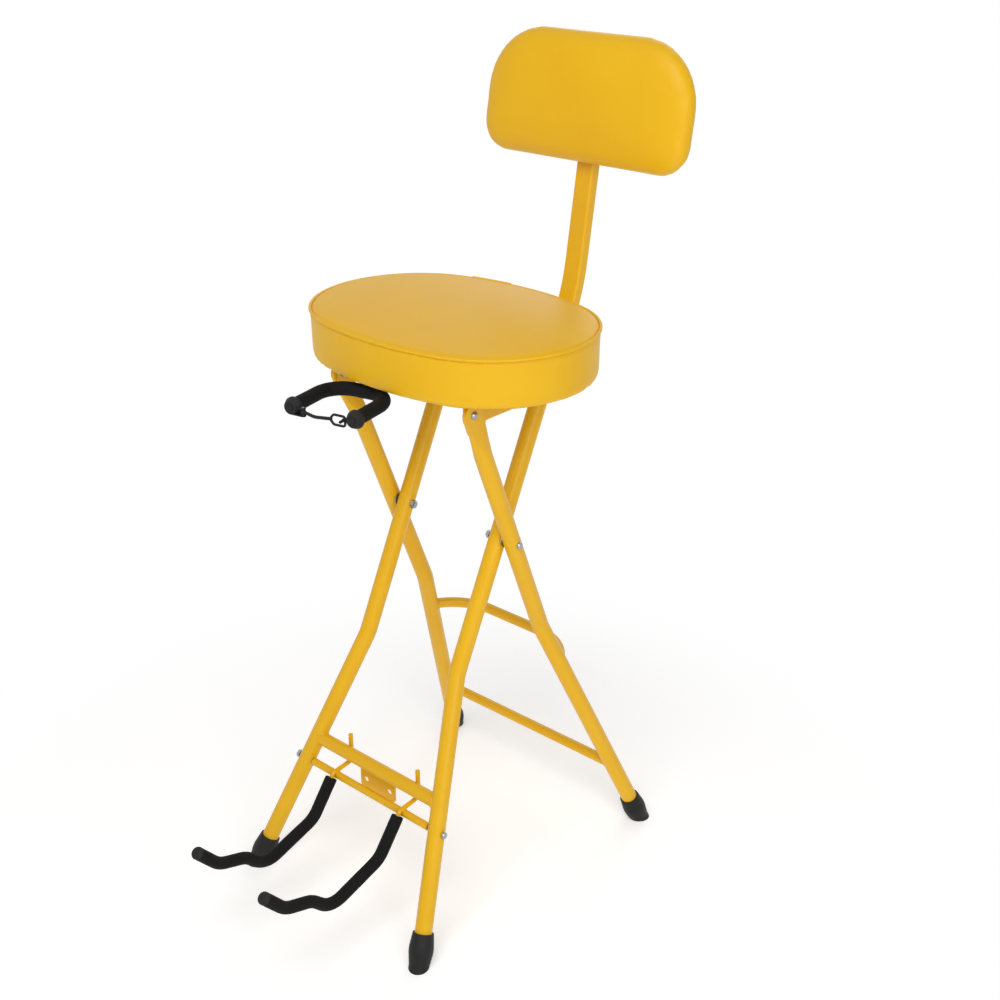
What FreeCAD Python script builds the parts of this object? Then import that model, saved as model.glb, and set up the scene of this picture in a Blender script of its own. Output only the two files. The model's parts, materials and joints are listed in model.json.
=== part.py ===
import FreeCAD, Part
import math
import os
import re

import Sketcher
from FreeCAD import Placement, Rotation, Vector

# Folding guitar stool: two crossed leg frames, a padded oval seat with a backrest post,
# a swing-up guitar cradle at the front legs and a slide-in neck yoke under the seat.
# Frame: +Z up, the sitter faces -Y, origin on the floor below the middle of the stool. Millimetres and degrees.

doc = FreeCAD.newDocument("guitar_stool")
sheet = doc.addObject("Spreadsheet::Sheet", "Sizes")

SIZES = {
    # Leg frames, measured from the pivot bolts where the two frames cross
    "pivot_setback": "51.6",
    "pivot_height": "480.4",
    "rear_lean": "21.65",
    "front_lean": "25.6",
    "splay": "11.6",
    "tube_dia": "22",
    "tube_wall": "1.2",
    "kink_radius": "60",
    "rear_spread": "103",
    "leg_gap": "2",
    "rear_kink_drop": "151",
    "front_kink_drop": "178",
    "hinge_rise": "205.8",
    "rod_rise": "205.3",
    "rod_dia": "12",
    "leg_top_over": "12",
    # Flattened upper ends of the rear legs, bolted to the seat rails
    "flat_width": "28",
    "flat_thick": "5",
    "flat_shift": "5",
    "flat_below": "20",
    "flatten_length": "42",
    # Fasteners and clearances
    "bolt_dia": "6",
    "head_dia": "9.5",
    "head_height": "3.6",
    "nut_size": "11",
    "nut_height": "4.5",
    "thread_over": "1.5",
    "washer_dia": "17",
    "washer_thick": "1.4",
    "screw_dia": "4",
    "screw_head_dia": "8",
    "screw_head_height": "2.2",
    "running_gap": "0.1",
    "side_gap": "0.3",
    "weld_gap": "0.05",
    # Bars across the legs
    "crossbar_dia": "18",
    "crossbar_drop": "336",
    "lower_bar_dia": "14",
    "lower_bar_drop": "409.5",
    "brace_dia": "14",
    "brace_height": "282",
    "brace_bow": "44.5",
    "brace_radius": "28",
    "brace_slant": "21.6",
    "bar_wall": "1.2",
    # Plate hung from the front crossbar behind the cradle tube
    "plate_width": "62",
    "plate_depth": "39",
    "plate_thick": "2.5",
    "plate_hole_dia": "8",
    "plate_hole_gap": "42",
    "plate_hole_drop": "17.5",
    # Rubber feet
    "foot_length": "42",
    "foot_base": "8",
    "foot_end_dia": "26",
    "foot_belly_dia": "32",
    "foot_mouth_dia": "26.5",
    "foot_belly_rise": "21",
    # Seat, measured from the hinge bolts at its front
    "seat_gap": "16.5",
    "seat_setback": "84.7",
    "seat_half_width": "188",
    "seat_half_depth": "135",
    "seat_end_radius": "127",
    "seam_height": "59.2",
    "crown": "10",
    "side_tuck": "2.5",
    "board_thick": "12",
    "board_inset": "9",
    # Rails under the seat that carry the hinge bolts and the notches for the cross rod
    "rail_thick": "2.5",
    "rail_depth": "31",
    "rail_flange": "24",
    "rail_front": "10",
    "rail_rear": "18",
    "rail_bend": "4",
    "notch_gap": "0.4",
    "notch_slant": "34",
    # Backrest post, a flat-sided tube bent up behind the seat
    "post_width": "27",
    "post_depth": "16",
    "post_corner": "3.5",
    "post_wall": "1.5",
    "post_start": "103",
    "post_low_y": "294",
    "post_low_radius": "50",
    "post_knee_y": "316.5",
    "post_knee_z": "69",
    "post_knee_radius": "270",
    "back_lean": "9.4",
    "post_length": "271",
    "post_bolt_gap": "80",
    # Backrest pad on its board
    "pad_centre": "226.5",
    "pad_width": "322",
    "pad_height": "162",
    "pad_thick": "33",
    "pad_top_radius": "84",
    "pad_bottom_radius": "40",
    "pad_belly": "10",
    "back_board_thick": "9",
    "back_board_inset": "12",
    "back_bolt_gap": "50",
    # Cradle that swings on a long bolt through the front legs
    "axle_below": "33.5",
    "stub_over": "18.8",
    "stub_gap": "0.7",
    "axle_tube_dia": "10",
    "axle_end_gap": "1.4",
    "arm_spread": "61",
    "arm_wire_dia": "6",
    "arm_foam_dia": "16",
    "arm_foam_start": "6.8",
    "arm_tip_length": "5",
    # Neck yoke that slides in a guide under the seat
    "yoke_offset": "20",
    "yoke_drop": "11",
    "yoke_turn": "12",
    "yoke_wire_dia": "8",
    "yoke_foam_dia": "17",
    "yoke_radius": "42.5",
    "yoke_bend": "31",
    "yoke_arm": "30",
    "yoke_centre": "79.5",
    "yoke_cap_dia": "22",
    "yoke_cap_length": "14",
    "guide_front": "30",
    "guide_length": "46",
    "guide_width": "22",
    "guide_height": "19",
    "stop_pin_dia": "2.5",
    "stop_pin_length": "12",
    # Rubber strap across the yoke's mouth
    "strap_width": "4.4",
    "strap_thick": "3.4",
    "strap_sag": "7",
    "strap_eye_dia": "6.5",
    "strap_eye_out": "15.2",
    "strap_pin_dia": "3",
    "loop_length": "22",
    "loop_height": "15",
    "peg_dia": "3.5",
}

for row, (alias, value) in enumerate(SIZES.items(), start=1):
    sheet.set("A%d" % row, alias)
    sheet.set("B%d" % row, value)
    sheet.setAlias("B%d" % row, alias)
doc.recompute()

ALONG_X = Rotation(Vector(0, 1, 0), 90)
HALF = 0.5


def cell(text):
    """Write the sheet's name before each alias in an expression."""
    return re.sub(r"[a-z][a-z_]*", lambda m: "Sizes." + m.group() if m.group() in SIZES else m.group(), text)


def num(text):
    """Value of an expression of aliases, in millimetres or degrees."""
    value = sheet.evalExpression(cell(text))
    return float(getattr(value, "Value", value))


def bind(thing, prop, text):
    thing.setExpression(prop, cell(text))


def at(frame, x, y, z, rotation=None):
    """A placement at a point of a frame, with the three coordinates as expressions."""
    return frame.multiply(Placement(Vector(num(x), num(y), num(z)), rotation or Rotation()))


# Frames of the assembly
UP = Rotation()
rear_frame = Placement(Vector(0, num("pivot_setback"), num("pivot_height")), Rotation(Vector(1, 0, 0), num("rear_lean")))
front_frame = Placement(rear_frame.Base, Rotation(Vector(1, 0, 0), -num("front_lean")))
seat_frame = Placement(rear_frame.multVec(Vector(0, 0, num("hinge_rise"))), UP)
rod_point = front_frame.multVec(Vector(0, 0, num("rod_rise")))
AXLE_DROP = "(crossbar_drop + axle_below)"
cradle_frame = Placement(front_frame.multVec(Vector(0, 0, -num(AXLE_DROP))), UP)

FRONT_SPREAD = "(rear_spread - tube_dia - leg_gap)"
REAR_FOOT = "(pivot_height / cos(rear_lean))"
FRONT_FOOT = "(pivot_height / cos(front_lean))"


def spread_at(spread, kink, drop):
    """Sideways place of a leg's axis at a distance below the pivot, below the kink."""
    return "(%s + (%s - %s) * tan(splay))" % (spread, drop, kink)


# Modelling helpers

def new_body(label, frame):
    body = doc.addObject("PartDesign::Body", label)
    body.Label = label
    body.Placement = frame
    return body


def new_sketch(body, role, shift=("0", "0", "0")):
    sketch = body.newObject("Sketcher::SketchObject", body.Name + "_sketch")
    plane = [feature for feature in body.Origin.OriginFeatures if feature.Role == role][0]
    sketch.AttachmentSupport = [(plane, "")]
    sketch.MapMode = "FlatFace"
    for axis, text in zip("xyz", shift):
        if text != "0":
            bind(sketch, "AttachmentOffset.Base." + axis, text)
    return sketch


def place_point(sketch, geometry, position, corner):
    """Tie a point of a sketch to two expressions."""
    for kind, text in zip(("DistanceX", "DistanceY"), corner):
        index = sketch.addConstraint(Sketcher.Constraint(kind, -1, 1, geometry, position, num(text)))
        bind(sketch, "Constraints[%d]" % index, text)


def draw_circle(sketch, dia, centre=("0", "0")):
    middle = Vector(num(centre[0]), num(centre[1]), 0)
    circle = sketch.addGeometry(Part.Circle(middle, Vector(0, 0, 1), num(dia) * HALF))
    place_point(sketch, circle, 3, centre)
    index = sketch.addConstraint(Sketcher.Constraint("Diameter", circle, num(dia)))
    bind(sketch, "Constraints[%d]" % index, dia)


def draw_runs(sketch, corners, radii, closed):
    """Draw straight runs from corner to corner, round the corners that have a radius, and bind them all."""
    points = [Vector(num(x), num(y), 0) for x, y in corners]
    count = len(points)
    runs = count if closed else count - 1
    starts = [points[i] for i in range(runs)]
    ends = [points[(i + 1) % count] for i in range(runs)]
    arcs = {}
    for i in range(count):
        rounded = radii[i] != "0" and (closed or 0 < i < count - 1)
        if not rounded:
            continue
        before = (points[i - 1] - points[i]).normalize()
        after = (points[(i + 1) % count] - points[i]).normalize()
        half_turn = HALF * before.getAngle(after)
        radius = num(radii[i])
        reach = radius / math.tan(half_turn)
        ends[i - 1] = points[i] + before * reach
        starts[i % runs] = points[i] + after * reach
        middle = points[i] + (before + after).normalize() * (radius / math.sin(half_turn))
        left_turn = before.cross(after).z < 0
        arcs[i] = (middle, radius, left_turn)
    lines = [sketch.addGeometry(Part.LineSegment(starts[i], ends[i])) for i in range(runs)]
    for i in range(count):
        first, last = lines[i - 1], lines[i % runs]
        if i in arcs:
            middle, radius, left_turn = arcs[i]
            turn_from, turn_to = (ends[i - 1], starts[i % runs]) if left_turn else (starts[i % runs], ends[i - 1])
            start_angle = math.atan2(turn_from.y - middle.y, turn_from.x - middle.x)
            end_angle = math.atan2(turn_to.y - middle.y, turn_to.x - middle.x)
            if end_angle < start_angle:
                end_angle += 2 * math.pi
            circle = Part.Circle(middle, Vector(0, 0, 1), radius)
            arc = sketch.addGeometry(Part.ArcOfCircle(circle, start_angle, end_angle))
            near, far = (1, 2) if left_turn else (2, 1)
            sketch.addConstraint(Sketcher.Constraint("Tangent", first, 2, arc, near))
            sketch.addConstraint(Sketcher.Constraint("Tangent", arc, far, last, 1))
            index = sketch.addConstraint(Sketcher.Constraint("Radius", arc, radius))
            bind(sketch, "Constraints[%d]" % index, radii[i])
            mark = sketch.addGeometry(Part.Point(points[i]), True)
            sketch.addConstraint(Sketcher.Constraint("PointOnObject", mark, 1, first))
            sketch.addConstraint(Sketcher.Constraint("PointOnObject", mark, 1, last))
            place_point(sketch, mark, 1, corners[i])
        elif closed or 0 < i < count - 1:
            sketch.addConstraint(Sketcher.Constraint("Coincident", first, 2, last, 1))
            place_point(sketch, last, 1, corners[i])
        elif i == 0:
            place_point(sketch, lines[0], 1, corners[0])
        else:
            place_point(sketch, lines[-1], 2, corners[i])
    return len(lines) + len(arcs)


def sharp(corners):
    return ["0"] * len(corners)


def add_pad(body, sketch, length):
    pad = body.newObject("PartDesign::Pad", body.Name + "_pad")
    pad.Profile = sketch
    bind(pad, "Length", length)
    return pad


def add_pipe(body, profile, spine):
    pipe = body.newObject("PartDesign::AdditivePipe", body.Name + "_pipe")
    pipe.Profile = profile
    pipe.Spine = spine
    return pipe


def add_turning(body, sketch):
    turning = body.newObject("PartDesign::Revolution", body.Name + "_turning")
    turning.Profile = sketch
    turning.ReferenceAxis = (sketch, ["V_Axis"])
    turning.Angle = 360
    return turning


def drill(body, dia, length, placement):
    """Cut a round hole along the placement's Z axis."""
    hole = body.newObject("PartDesign::SubtractiveCylinder", body.Name + "_hole")
    bind(hole, "Radius", "%s / 2" % dia)
    bind(hole, "Height", length)
    hole.Placement = placement
    return hole


def mirrored(label, source):
    copy = doc.addObject("Part::Mirroring", label)
    copy.Label = label
    copy.Source = source
    copy.Normal = Vector(1, 0, 0)
    return copy


def both_sides(label, source):
    """One node with a piece on the right and its mirror image on the left."""
    pair = doc.addObject("Part::Compound", label)
    pair.Label = label
    pair.Links = [source, mirrored(label + "_left", source)]
    return pair


def rod(label, dia, length, placement):
    cylinder = doc.addObject("Part::Cylinder", label)
    cylinder.Label = label
    bind(cylinder, "Radius", "(%s) / 2" % dia)
    bind(cylinder, "Height", length)
    cylinder.Placement = placement
    return cylinder


def cut(label, base, *tools):
    whole = tools[0]
    if len(tools) > 1:
        whole = doc.addObject("Part::MultiFuse", label + "_tools")
        whole.Shapes = list(tools)
    result = doc.addObject("Part::Cut", label)
    result.Label = label
    result.Base = base
    result.Tool = whole
    return result


NODES = []


def keep(*things):
    NODES.extend(things)


# Leg frames

def leg_axis(label, spread, kink, frame, side):
    """A solid round along the lower run of a leg, used to fit bar ends to the leg."""
    angle = 180 - side * num("splay")
    start = at(frame, "%d * %s" % (side, spread), "0", "-(%s)" % kink, Rotation(Vector(0, 1, 0), angle))
    return rod(label, "tube_dia + 2 * weld_gap", REAR_FOOT, start)


def leg_corners(spread, kink, foot, top):
    foot_z = "(-%s + foot_base * cos(splay))" % foot
    foot_x = "(%s - foot_base * sin(splay))" % spread_at(spread, kink, foot)
    return [(spread, top), (spread, "-(%s)" % kink), (foot_x, foot_z)]


def tube_profile(body, role, shift, dia, wall):
    profile = new_sketch(body, role, shift)
    draw_circle(profile, dia)
    draw_circle(profile, "%s - 2 * %s" % (dia, wall))
    return profile


def build_leg(label, frame, spread, kink, foot, top):
    body = new_body(label, frame)
    spine = new_sketch(body, "XZ_Plane")
    draw_runs(spine, leg_corners(spread, kink, foot, top), ["0", "kink_radius", "0"], False)
    profile = tube_profile(body, "XY_Plane", (spread, "0", top), "tube_dia", "tube_wall")
    add_pipe(body, profile, spine)
    return body


ROUND_TOP = "(hinge_rise - flat_below - flatten_length)"
FLAT_START = "(hinge_rise - flat_below)"
FLAT_X = "(rear_spread + flat_shift)"


def split_oval(sketch, half_thick, half_width):
    """Four edges, two long and two rounded, so that a flat section matches a round one."""
    if half_thick == half_width:
        radius = num(half_width)
        circle = Part.Circle(Vector(), Vector(0, 0, 1), radius)
        for start in (45, 135, 225, 315):
            sketch.addGeometry(Part.ArcOfCircle(circle, math.radians(start), math.radians(start + 90)))
        return
    thick = num(half_thick)
    straight = num(half_width) - thick
    top = Part.Circle(Vector(0, straight, 0), Vector(0, 0, 1), thick)
    bottom = Part.Circle(Vector(0, -straight, 0), Vector(0, 0, 1), thick)
    sketch.addGeometry(Part.ArcOfCircle(top, 0, math.pi))
    sketch.addGeometry(Part.LineSegment(Vector(-thick, straight, 0), Vector(-thick, -straight, 0)))
    sketch.addGeometry(Part.ArcOfCircle(bottom, math.pi, 2 * math.pi))
    sketch.addGeometry(Part.LineSegment(Vector(thick, -straight, 0), Vector(thick, straight, 0)))


def build_rear_leg():
    """Round tube, kinked outwards below the pivot, pressed flat at the top round the hinge bolt."""
    body = build_leg("rear_leg_right", rear_frame, "rear_spread", "rear_kink_drop", REAR_FOOT, ROUND_TOP)
    round_end = new_sketch(body, "XY_Plane", ("rear_spread", "0", ROUND_TOP))
    split_oval(round_end, "tube_dia / 2", "tube_dia / 2")
    flat_end = new_sketch(body, "XY_Plane", (FLAT_X, "0", FLAT_START))
    split_oval(flat_end, "flat_thick / 2", "flat_width / 2")
    squeeze = body.newObject("PartDesign::AdditiveLoft", "rear_leg_squeeze")
    squeeze.Profile = round_end
    squeeze.Sections = [flat_end]
    ear = new_sketch(body, "YZ_Plane", ("0", "0", FLAT_X + " - flat_thick / 2"))
    low = "(hinge_rise - flat_below)"
    high = "(hinge_rise + flat_width / 2)"
    corners = [("-flat_width / 2", low), ("flat_width / 2", low), ("flat_width / 2", high), ("-flat_width / 2", high)]
    draw_runs(ear, corners, ["0", "0", "flat_width / 2.1", "flat_width / 2.1"], True)
    add_pad(body, ear, "flat_thick")
    hinge = Placement(Vector(0, 0, num("hinge_rise")), ALONG_X)
    drill(body, "(bolt_dia + 2 * weld_gap)", "2 * rear_spread", hinge)
    drill(body, "(bolt_dia + 2 * weld_gap)", "2 * rear_spread", Placement(Vector(), ALONG_X))
    return body


rear_leg = build_rear_leg()
rear_leg_left = mirrored("rear_leg_left", rear_leg)
keep(rear_leg, rear_leg_left)


def build_front_leg():
    """Round tube drilled for the pivot bolt, the cross rod and the cradle's long bolt."""
    top = "(rod_rise + leg_top_over)"
    body = build_leg("front_leg_right", front_frame, FRONT_SPREAD, "front_kink_drop", FRONT_FOOT, top)
    drill(body, "(bolt_dia + 2 * running_gap)", "2 * rear_spread", Placement(Vector(), ALONG_X))
    drill(body, "(rod_dia + 2 * weld_gap)", "2 * rear_spread", Placement(Vector(0, 0, num("rod_rise")), ALONG_X))
    axle = Placement(Vector(0, 0, -num(AXLE_DROP)), ALONG_X)
    drill(body, "(bolt_dia + 2 * weld_gap)", "2 * rear_spread", axle)
    return body


front_leg = build_front_leg()
front_leg_left = mirrored("front_leg_left", front_leg)
keep(front_leg, front_leg_left)

# Straight bars welded between the legs, their ends shaped to the round legs
front_cutters = [leg_axis("front_axis_%d" % side, FRONT_SPREAD, "front_kink_drop", front_frame, side) for side in (1, -1)]
rear_cutters = [leg_axis("rear_axis_%d" % side, "rear_spread", "rear_kink_drop", rear_frame, side) for side in (1, -1)]


def build_bar(label, frame, spread, kink, drop, dia, cutters):
    half_length = spread_at(spread, kink, drop)
    body = new_body(label + "_blank", frame)
    profile = new_sketch(body, "YZ_Plane", ("0", "-" + drop, "-" + half_length))
    draw_circle(profile, dia)
    draw_circle(profile, "%s - 2 * bar_wall" % dia)
    add_pad(body, profile, "2 * " + half_length)
    return cut(label, body, *cutters)


front_crossbar = build_bar("front_crossbar", front_frame, FRONT_SPREAD, "front_kink_drop", "crossbar_drop",
                           "crossbar_dia", front_cutters)
rear_lower_bar = build_bar("rear_lower_bar", rear_frame, "rear_spread", "rear_kink_drop", "lower_bar_drop",
                           "lower_bar_dia", rear_cutters)
keep(front_crossbar, rear_lower_bar)


BRACE_DROP = "((pivot_height - brace_height) / cos(rear_lean))"


def build_brace():
    """Bar bowed backwards between the rear legs, with both ends turned forward into them."""
    leg_y = "(pivot_height - brace_height) * tan(rear_lean)"
    frame = Placement(Vector(0, num("pivot_setback + " + leg_y), num("brace_height")), UP)
    body = new_body("rear_brace_blank", frame)
    spine = new_sketch(body, "XY_Plane")
    reach = spread_at("rear_spread", "rear_kink_drop", BRACE_DROP)
    corners = [("0", "brace_bow"), (reach + " - brace_bow * tan(brace_slant)", "brace_bow"), (reach, "0")]
    draw_runs(spine, corners, ["0", "brace_radius", "0"], False)
    profile = new_sketch(body, "YZ_Plane", ("brace_bow", "0", "0"))
    draw_circle(profile, "brace_dia")
    draw_circle(profile, "brace_dia - 2 * bar_wall")
    pipe = add_pipe(body, profile, spine)
    copy = body.newObject("PartDesign::Mirrored", "rear_brace_mirrored")
    copy.Originals = [pipe]
    copy.MirrorPlane = ([f for f in body.Origin.OriginFeatures if f.Role == "YZ_Plane"][0], [""])
    body.Tip = copy
    return cut("rear_brace", body, *rear_cutters)


keep(build_brace())

# Cross rod through the tops of the front legs, whose ends hang in the notches of the seat rails
ROD_HALF = "(rear_spread + flat_shift - flat_thick / 2 - side_gap)"
cross_rod = rod("cross_rod", "rod_dia", "2 * " + ROD_HALF, at(front_frame, "-" + ROD_HALF, "0", "rod_rise", ALONG_X))
keep(cross_rod)


def build_foot(label, frame, spread, kink, foot):
    """Barrel-shaped rubber cap over the end of a leg, cut flat on the floor."""
    body = new_body(label + "_blank", at(frame, spread_at(spread, kink, foot), "0", "-" + foot,
                                         Rotation(Vector(0, 1, 0), -num("splay"))))
    sketch = new_sketch(body, "XZ_Plane")
    bore = "(tube_dia / 2 + weld_gap)"
    corners = [("0", "-foot_base"), ("foot_end_dia / 2", "-foot_base"), ("foot_end_dia / 2", "foot_base / 3"),
               ("foot_belly_dia / 2", "foot_belly_rise"), ("foot_mouth_dia / 2", "foot_length"),
               (bore, "foot_length"), (bore, "foot_base"), ("0", "foot_base")]
    draw_runs(sketch, corners, ["0", "0", "foot_base", "2 * foot_belly_rise", "0", "0", "0", "0"], True)
    add_turning(body, sketch)
    floor = doc.addObject("Part::Box", label + "_floor")
    for side in ("Length", "Width", "Height"):
        bind(floor, side, "4 * foot_belly_dia")
    corner = body.Placement.Base
    reach = num("2 * foot_belly_dia")
    floor.Placement = Placement(Vector(corner.x - reach, corner.y - reach, -2 * reach), UP)
    return cut(label, body, floor)


for end, foot_data in (("front", (front_frame, FRONT_SPREAD, "front_kink_drop", FRONT_FOOT)),
                       ("rear", (rear_frame, "rear_spread", "rear_kink_drop", REAR_FOOT))):
    foot = build_foot(end + "_foot_right", *foot_data)
    keep(foot, mirrored(end + "_foot_left", foot))


def build_plug():
    """Plastic plug that closes the open top of a front leg."""
    body = new_body("leg_plug", at(front_frame, FRONT_SPREAD, "0", "rod_rise + leg_top_over"))
    sketch = new_sketch(body, "XZ_Plane")
    bore = "(tube_dia / 2 - tube_wall - weld_gap)"
    corners = [("0", "-washer_thick * 2"), (bore, "-washer_thick * 2"), (bore, "weld_gap"),
               ("tube_dia / 2", "weld_gap"), ("tube_dia / 2", "washer_thick"), ("0", "2 * washer_thick")]
    draw_runs(sketch, corners, sharp(corners), True)
    add_turning(body, sketch)
    return body


keep(both_sides("leg_plugs", build_plug()))

# Fasteners

def build_bolt(label, length, placement, shank="bolt_dia", head="head_dia", height="head_height"):
    """Domed head and round shank. The head's seat is at the placement, the shank runs along -Z."""
    body = new_body(label, placement)
    sketch = new_sketch(body, "XZ_Plane")
    corners = [("0", "-(%s)" % length), (shank + " / 2", "-(%s)" % length), (shank + " / 2", "0"),
               (head + " / 2", "0"), (head + " / 2", height + " / 3"), (head + " / 4", height), ("0", height)]
    radii = ["0", "0", "0", "0", height + " / 2", height, "0"]
    draw_runs(sketch, corners, radii, True)
    add_turning(body, sketch)
    return body


def build_nut(label, placement):
    blank = doc.addObject("Part::Prism", label + "_blank")
    blank.Polygon = 6
    bind(blank, "Circumradius", "nut_size / 2")
    bind(blank, "Height", "nut_height")
    blank.Placement = placement
    bore = rod(label + "_bore", "bolt_dia + 2 * weld_gap", "nut_height", placement)
    return cut(label, blank, bore)


def washer(label, dia, thick, placement):
    blank = rod(label + "_blank", dia, thick, placement)
    bore = rod(label + "_bore", "bolt_dia + 2 * weld_gap", thick, placement)
    return cut(label, blank, bore)


PIVOT_OUT = "(rear_spread + tube_dia / 2 + weld_gap)"
PIVOT_IN = "(%s - tube_dia / 2 - side_gap)" % FRONT_SPREAD
pivot_bolt = build_bolt("pivot_bolt", "%s - %s + nut_height + thread_over" % (PIVOT_OUT, PIVOT_IN),
                        at(rear_frame, PIVOT_OUT, "0", "0", ALONG_X))
pivot_nut = build_nut("pivot_nut", at(rear_frame, PIVOT_IN + " - nut_height", "0", "0", ALONG_X))
pivot_washer = washer("pivot_washer", "washer_dia", "washer_thick",
                      at(rear_frame, "rear_spread - tube_dia / 2 - washer_thick - weld_gap", "0", "0", ALONG_X))
HINGE_OUT = "(%s + flat_thick / 2 + weld_gap)" % FLAT_X
RAIL_OUT = "(%s - flat_thick / 2 - side_gap)" % FLAT_X
HINGE_IN = "(%s - rail_thick - side_gap)" % RAIL_OUT
hinge_bolt = build_bolt("hinge_bolt", "%s - %s + nut_height + thread_over" % (HINGE_OUT, HINGE_IN),
                        at(seat_frame, HINGE_OUT, "0", "0", ALONG_X))
hinge_nut = build_nut("hinge_nut", at(seat_frame, HINGE_IN + " - nut_height", "0", "0", ALONG_X))
for label, piece in (("pivot_bolts", pivot_bolt), ("pivot_nuts", pivot_nut), ("pivot_washers", pivot_washer),
                     ("hinge_bolts", hinge_bolt), ("hinge_nuts", hinge_nut)):
    keep(both_sides(label, piece))

# The cradle's long bolt runs through both front legs, with its nut on the left
AXLE_OUT = "(%s + tube_dia / 2 / cos(splay) + nut_size / 2 * tan(splay) + weld_gap)" % spread_at(
    FRONT_SPREAD, "front_kink_drop", AXLE_DROP)
keep(build_bolt("cradle_bolt", "2 * %s + nut_height + thread_over" % AXLE_OUT,
                at(cradle_frame, AXLE_OUT, "0", "0", ALONG_X)))
keep(build_nut("cradle_nut", at(cradle_frame, "-%s - nut_height" % AXLE_OUT, "0", "0", ALONG_X)))


def build_axle_plate():
    """Plate with two holes, hung below the front crossbar just behind the cradle's tube."""
    bar = front_frame.multVec(Vector(0, 0, -num("crossbar_drop")))
    body = new_body("axle_plate_blank", Placement(bar, UP))
    sketch = new_sketch(body, "XZ_Plane", ("0", "0", "-plate_thick"))
    half = "plate_width / 2"
    corners = [("-" + half, "-plate_depth"), (half, "-plate_depth"), (half, "0"), ("-" + half, "0")]
    draw_runs(sketch, corners, ["plate_hole_dia / 2", "plate_hole_dia / 2", "0", "0"], True)
    for side in ("-", ""):
        draw_circle(sketch, "plate_hole_dia", (side + "plate_hole_gap / 2", "-crossbar_dia / 2 - plate_hole_drop"))
    add_pad(body, sketch, "plate_thick")
    crossbar = rod("crossbar_round", "crossbar_dia + 2 * weld_gap", "2 * plate_width",
                   at(Placement(bar, UP), "-plate_width", "0", "0", ALONG_X))
    return cut("axle_plate", body, crossbar)


keep(build_axle_plate())

# Seat

def oval_wire(inset, height):
    """Four tangent arcs round the seat, a distance inside its widest outline."""
    half_width = num("seat_half_width")
    half_depth = num("seat_half_depth")
    end = num("seat_end_radius")
    across = half_width - end
    side = (across ** 2 + half_depth ** 2 - end ** 2) / (2 * (half_depth - end))
    drop = side - half_depth
    turn = math.atan2(drop, across)
    centre_y = num("seat_setback")
    arcs = []
    for middle_x, middle_y, radius, start, end_angle in (
            (across, 0, end, -turn, turn),
            (0, -drop, side, turn, math.pi - turn),
            (-across, 0, end, math.pi - turn, math.pi + turn),
            (0, drop, side, math.pi + turn, 2 * math.pi - turn)):
        circle = Part.Circle(Vector(middle_x, centre_y + middle_y, height), Vector(0, 0, 1), radius - inset)
        arcs.append(Part.ArcOfCircle(circle, start, end_angle).toShape())
    return Part.Wire(arcs)


def solid_feature(label, shape, frame):
    feature = doc.addObject("Part::Feature", label)
    feature.Label = label
    feature.Shape = shape
    feature.Placement = frame
    return feature


def raised(wire, height):
    return Part.Face(wire).extrude(Vector(0, 0, height))


UNDERSIDE = num("seat_gap")
def build_cushion():
    """Box cushion: a band drawn in between its edges, a seam, and a crowned top, pulled over the board."""
    seam = UNDERSIDE + num("seam_height")
    tuck = num("side_tuck")
    edge = [(2 * tuck, 0), (HALF * tuck, 0.08)]
    band = [(HALF * tuck, 0.08), (tuck, 0.54), (0, 1)]
    crown = [(0, 0), (8 * tuck, 0.66), (16 * tuck, 0.86), (24 * tuck, 0.95), (32 * tuck, 0.99), (40 * tuck, 1)]

    def loft(sections, base, height):
        return Part.makeLoft([oval_wire(inset, base + share * height) for inset, share in sections], True)

    bottom = loft(edge, UNDERSIDE, num("seam_height"))
    sides = loft(band, UNDERSIDE, num("seam_height"))
    top = loft(crown, seam, num("crown"))
    gap = num("side_gap")
    pocket = raised(oval_wire(num("board_inset") - gap, UNDERSIDE - gap), num("board_thick") + 2 * gap)
    return solid_feature("seat_cushion", bottom.fuse([sides, top]).removeSplitter().cut(pocket), seat_frame)


keep(build_cushion())


# Place of the cross rod seen from the hinge bolts
ROD_Y = "(rod_rise * sin(front_lean) + hinge_rise * sin(rear_lean))"
ROD_Z = "(rod_rise * cos(front_lean) - hinge_rise * cos(rear_lean))"
RAIL_REAR = "(%s + rail_rear)" % ROD_Y
RAIL_SCREW_X = "(%s - rail_flange / 2)" % RAIL_OUT
RAIL_SCREW_Y = ["rail_flange", "%s - 1.5 * rail_flange" % ROD_Y]


def notch_corner(along, across):
    """A corner of the notch, along its slant from the rod and across it."""
    y = "%s - (%s) * sin(notch_slant) + (%s) * cos(notch_slant)" % (ROD_Y, along, across)
    z = "%s - (%s) * cos(notch_slant) - (%s) * sin(notch_slant)" % (ROD_Z, along, across)
    return (y, z)


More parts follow.
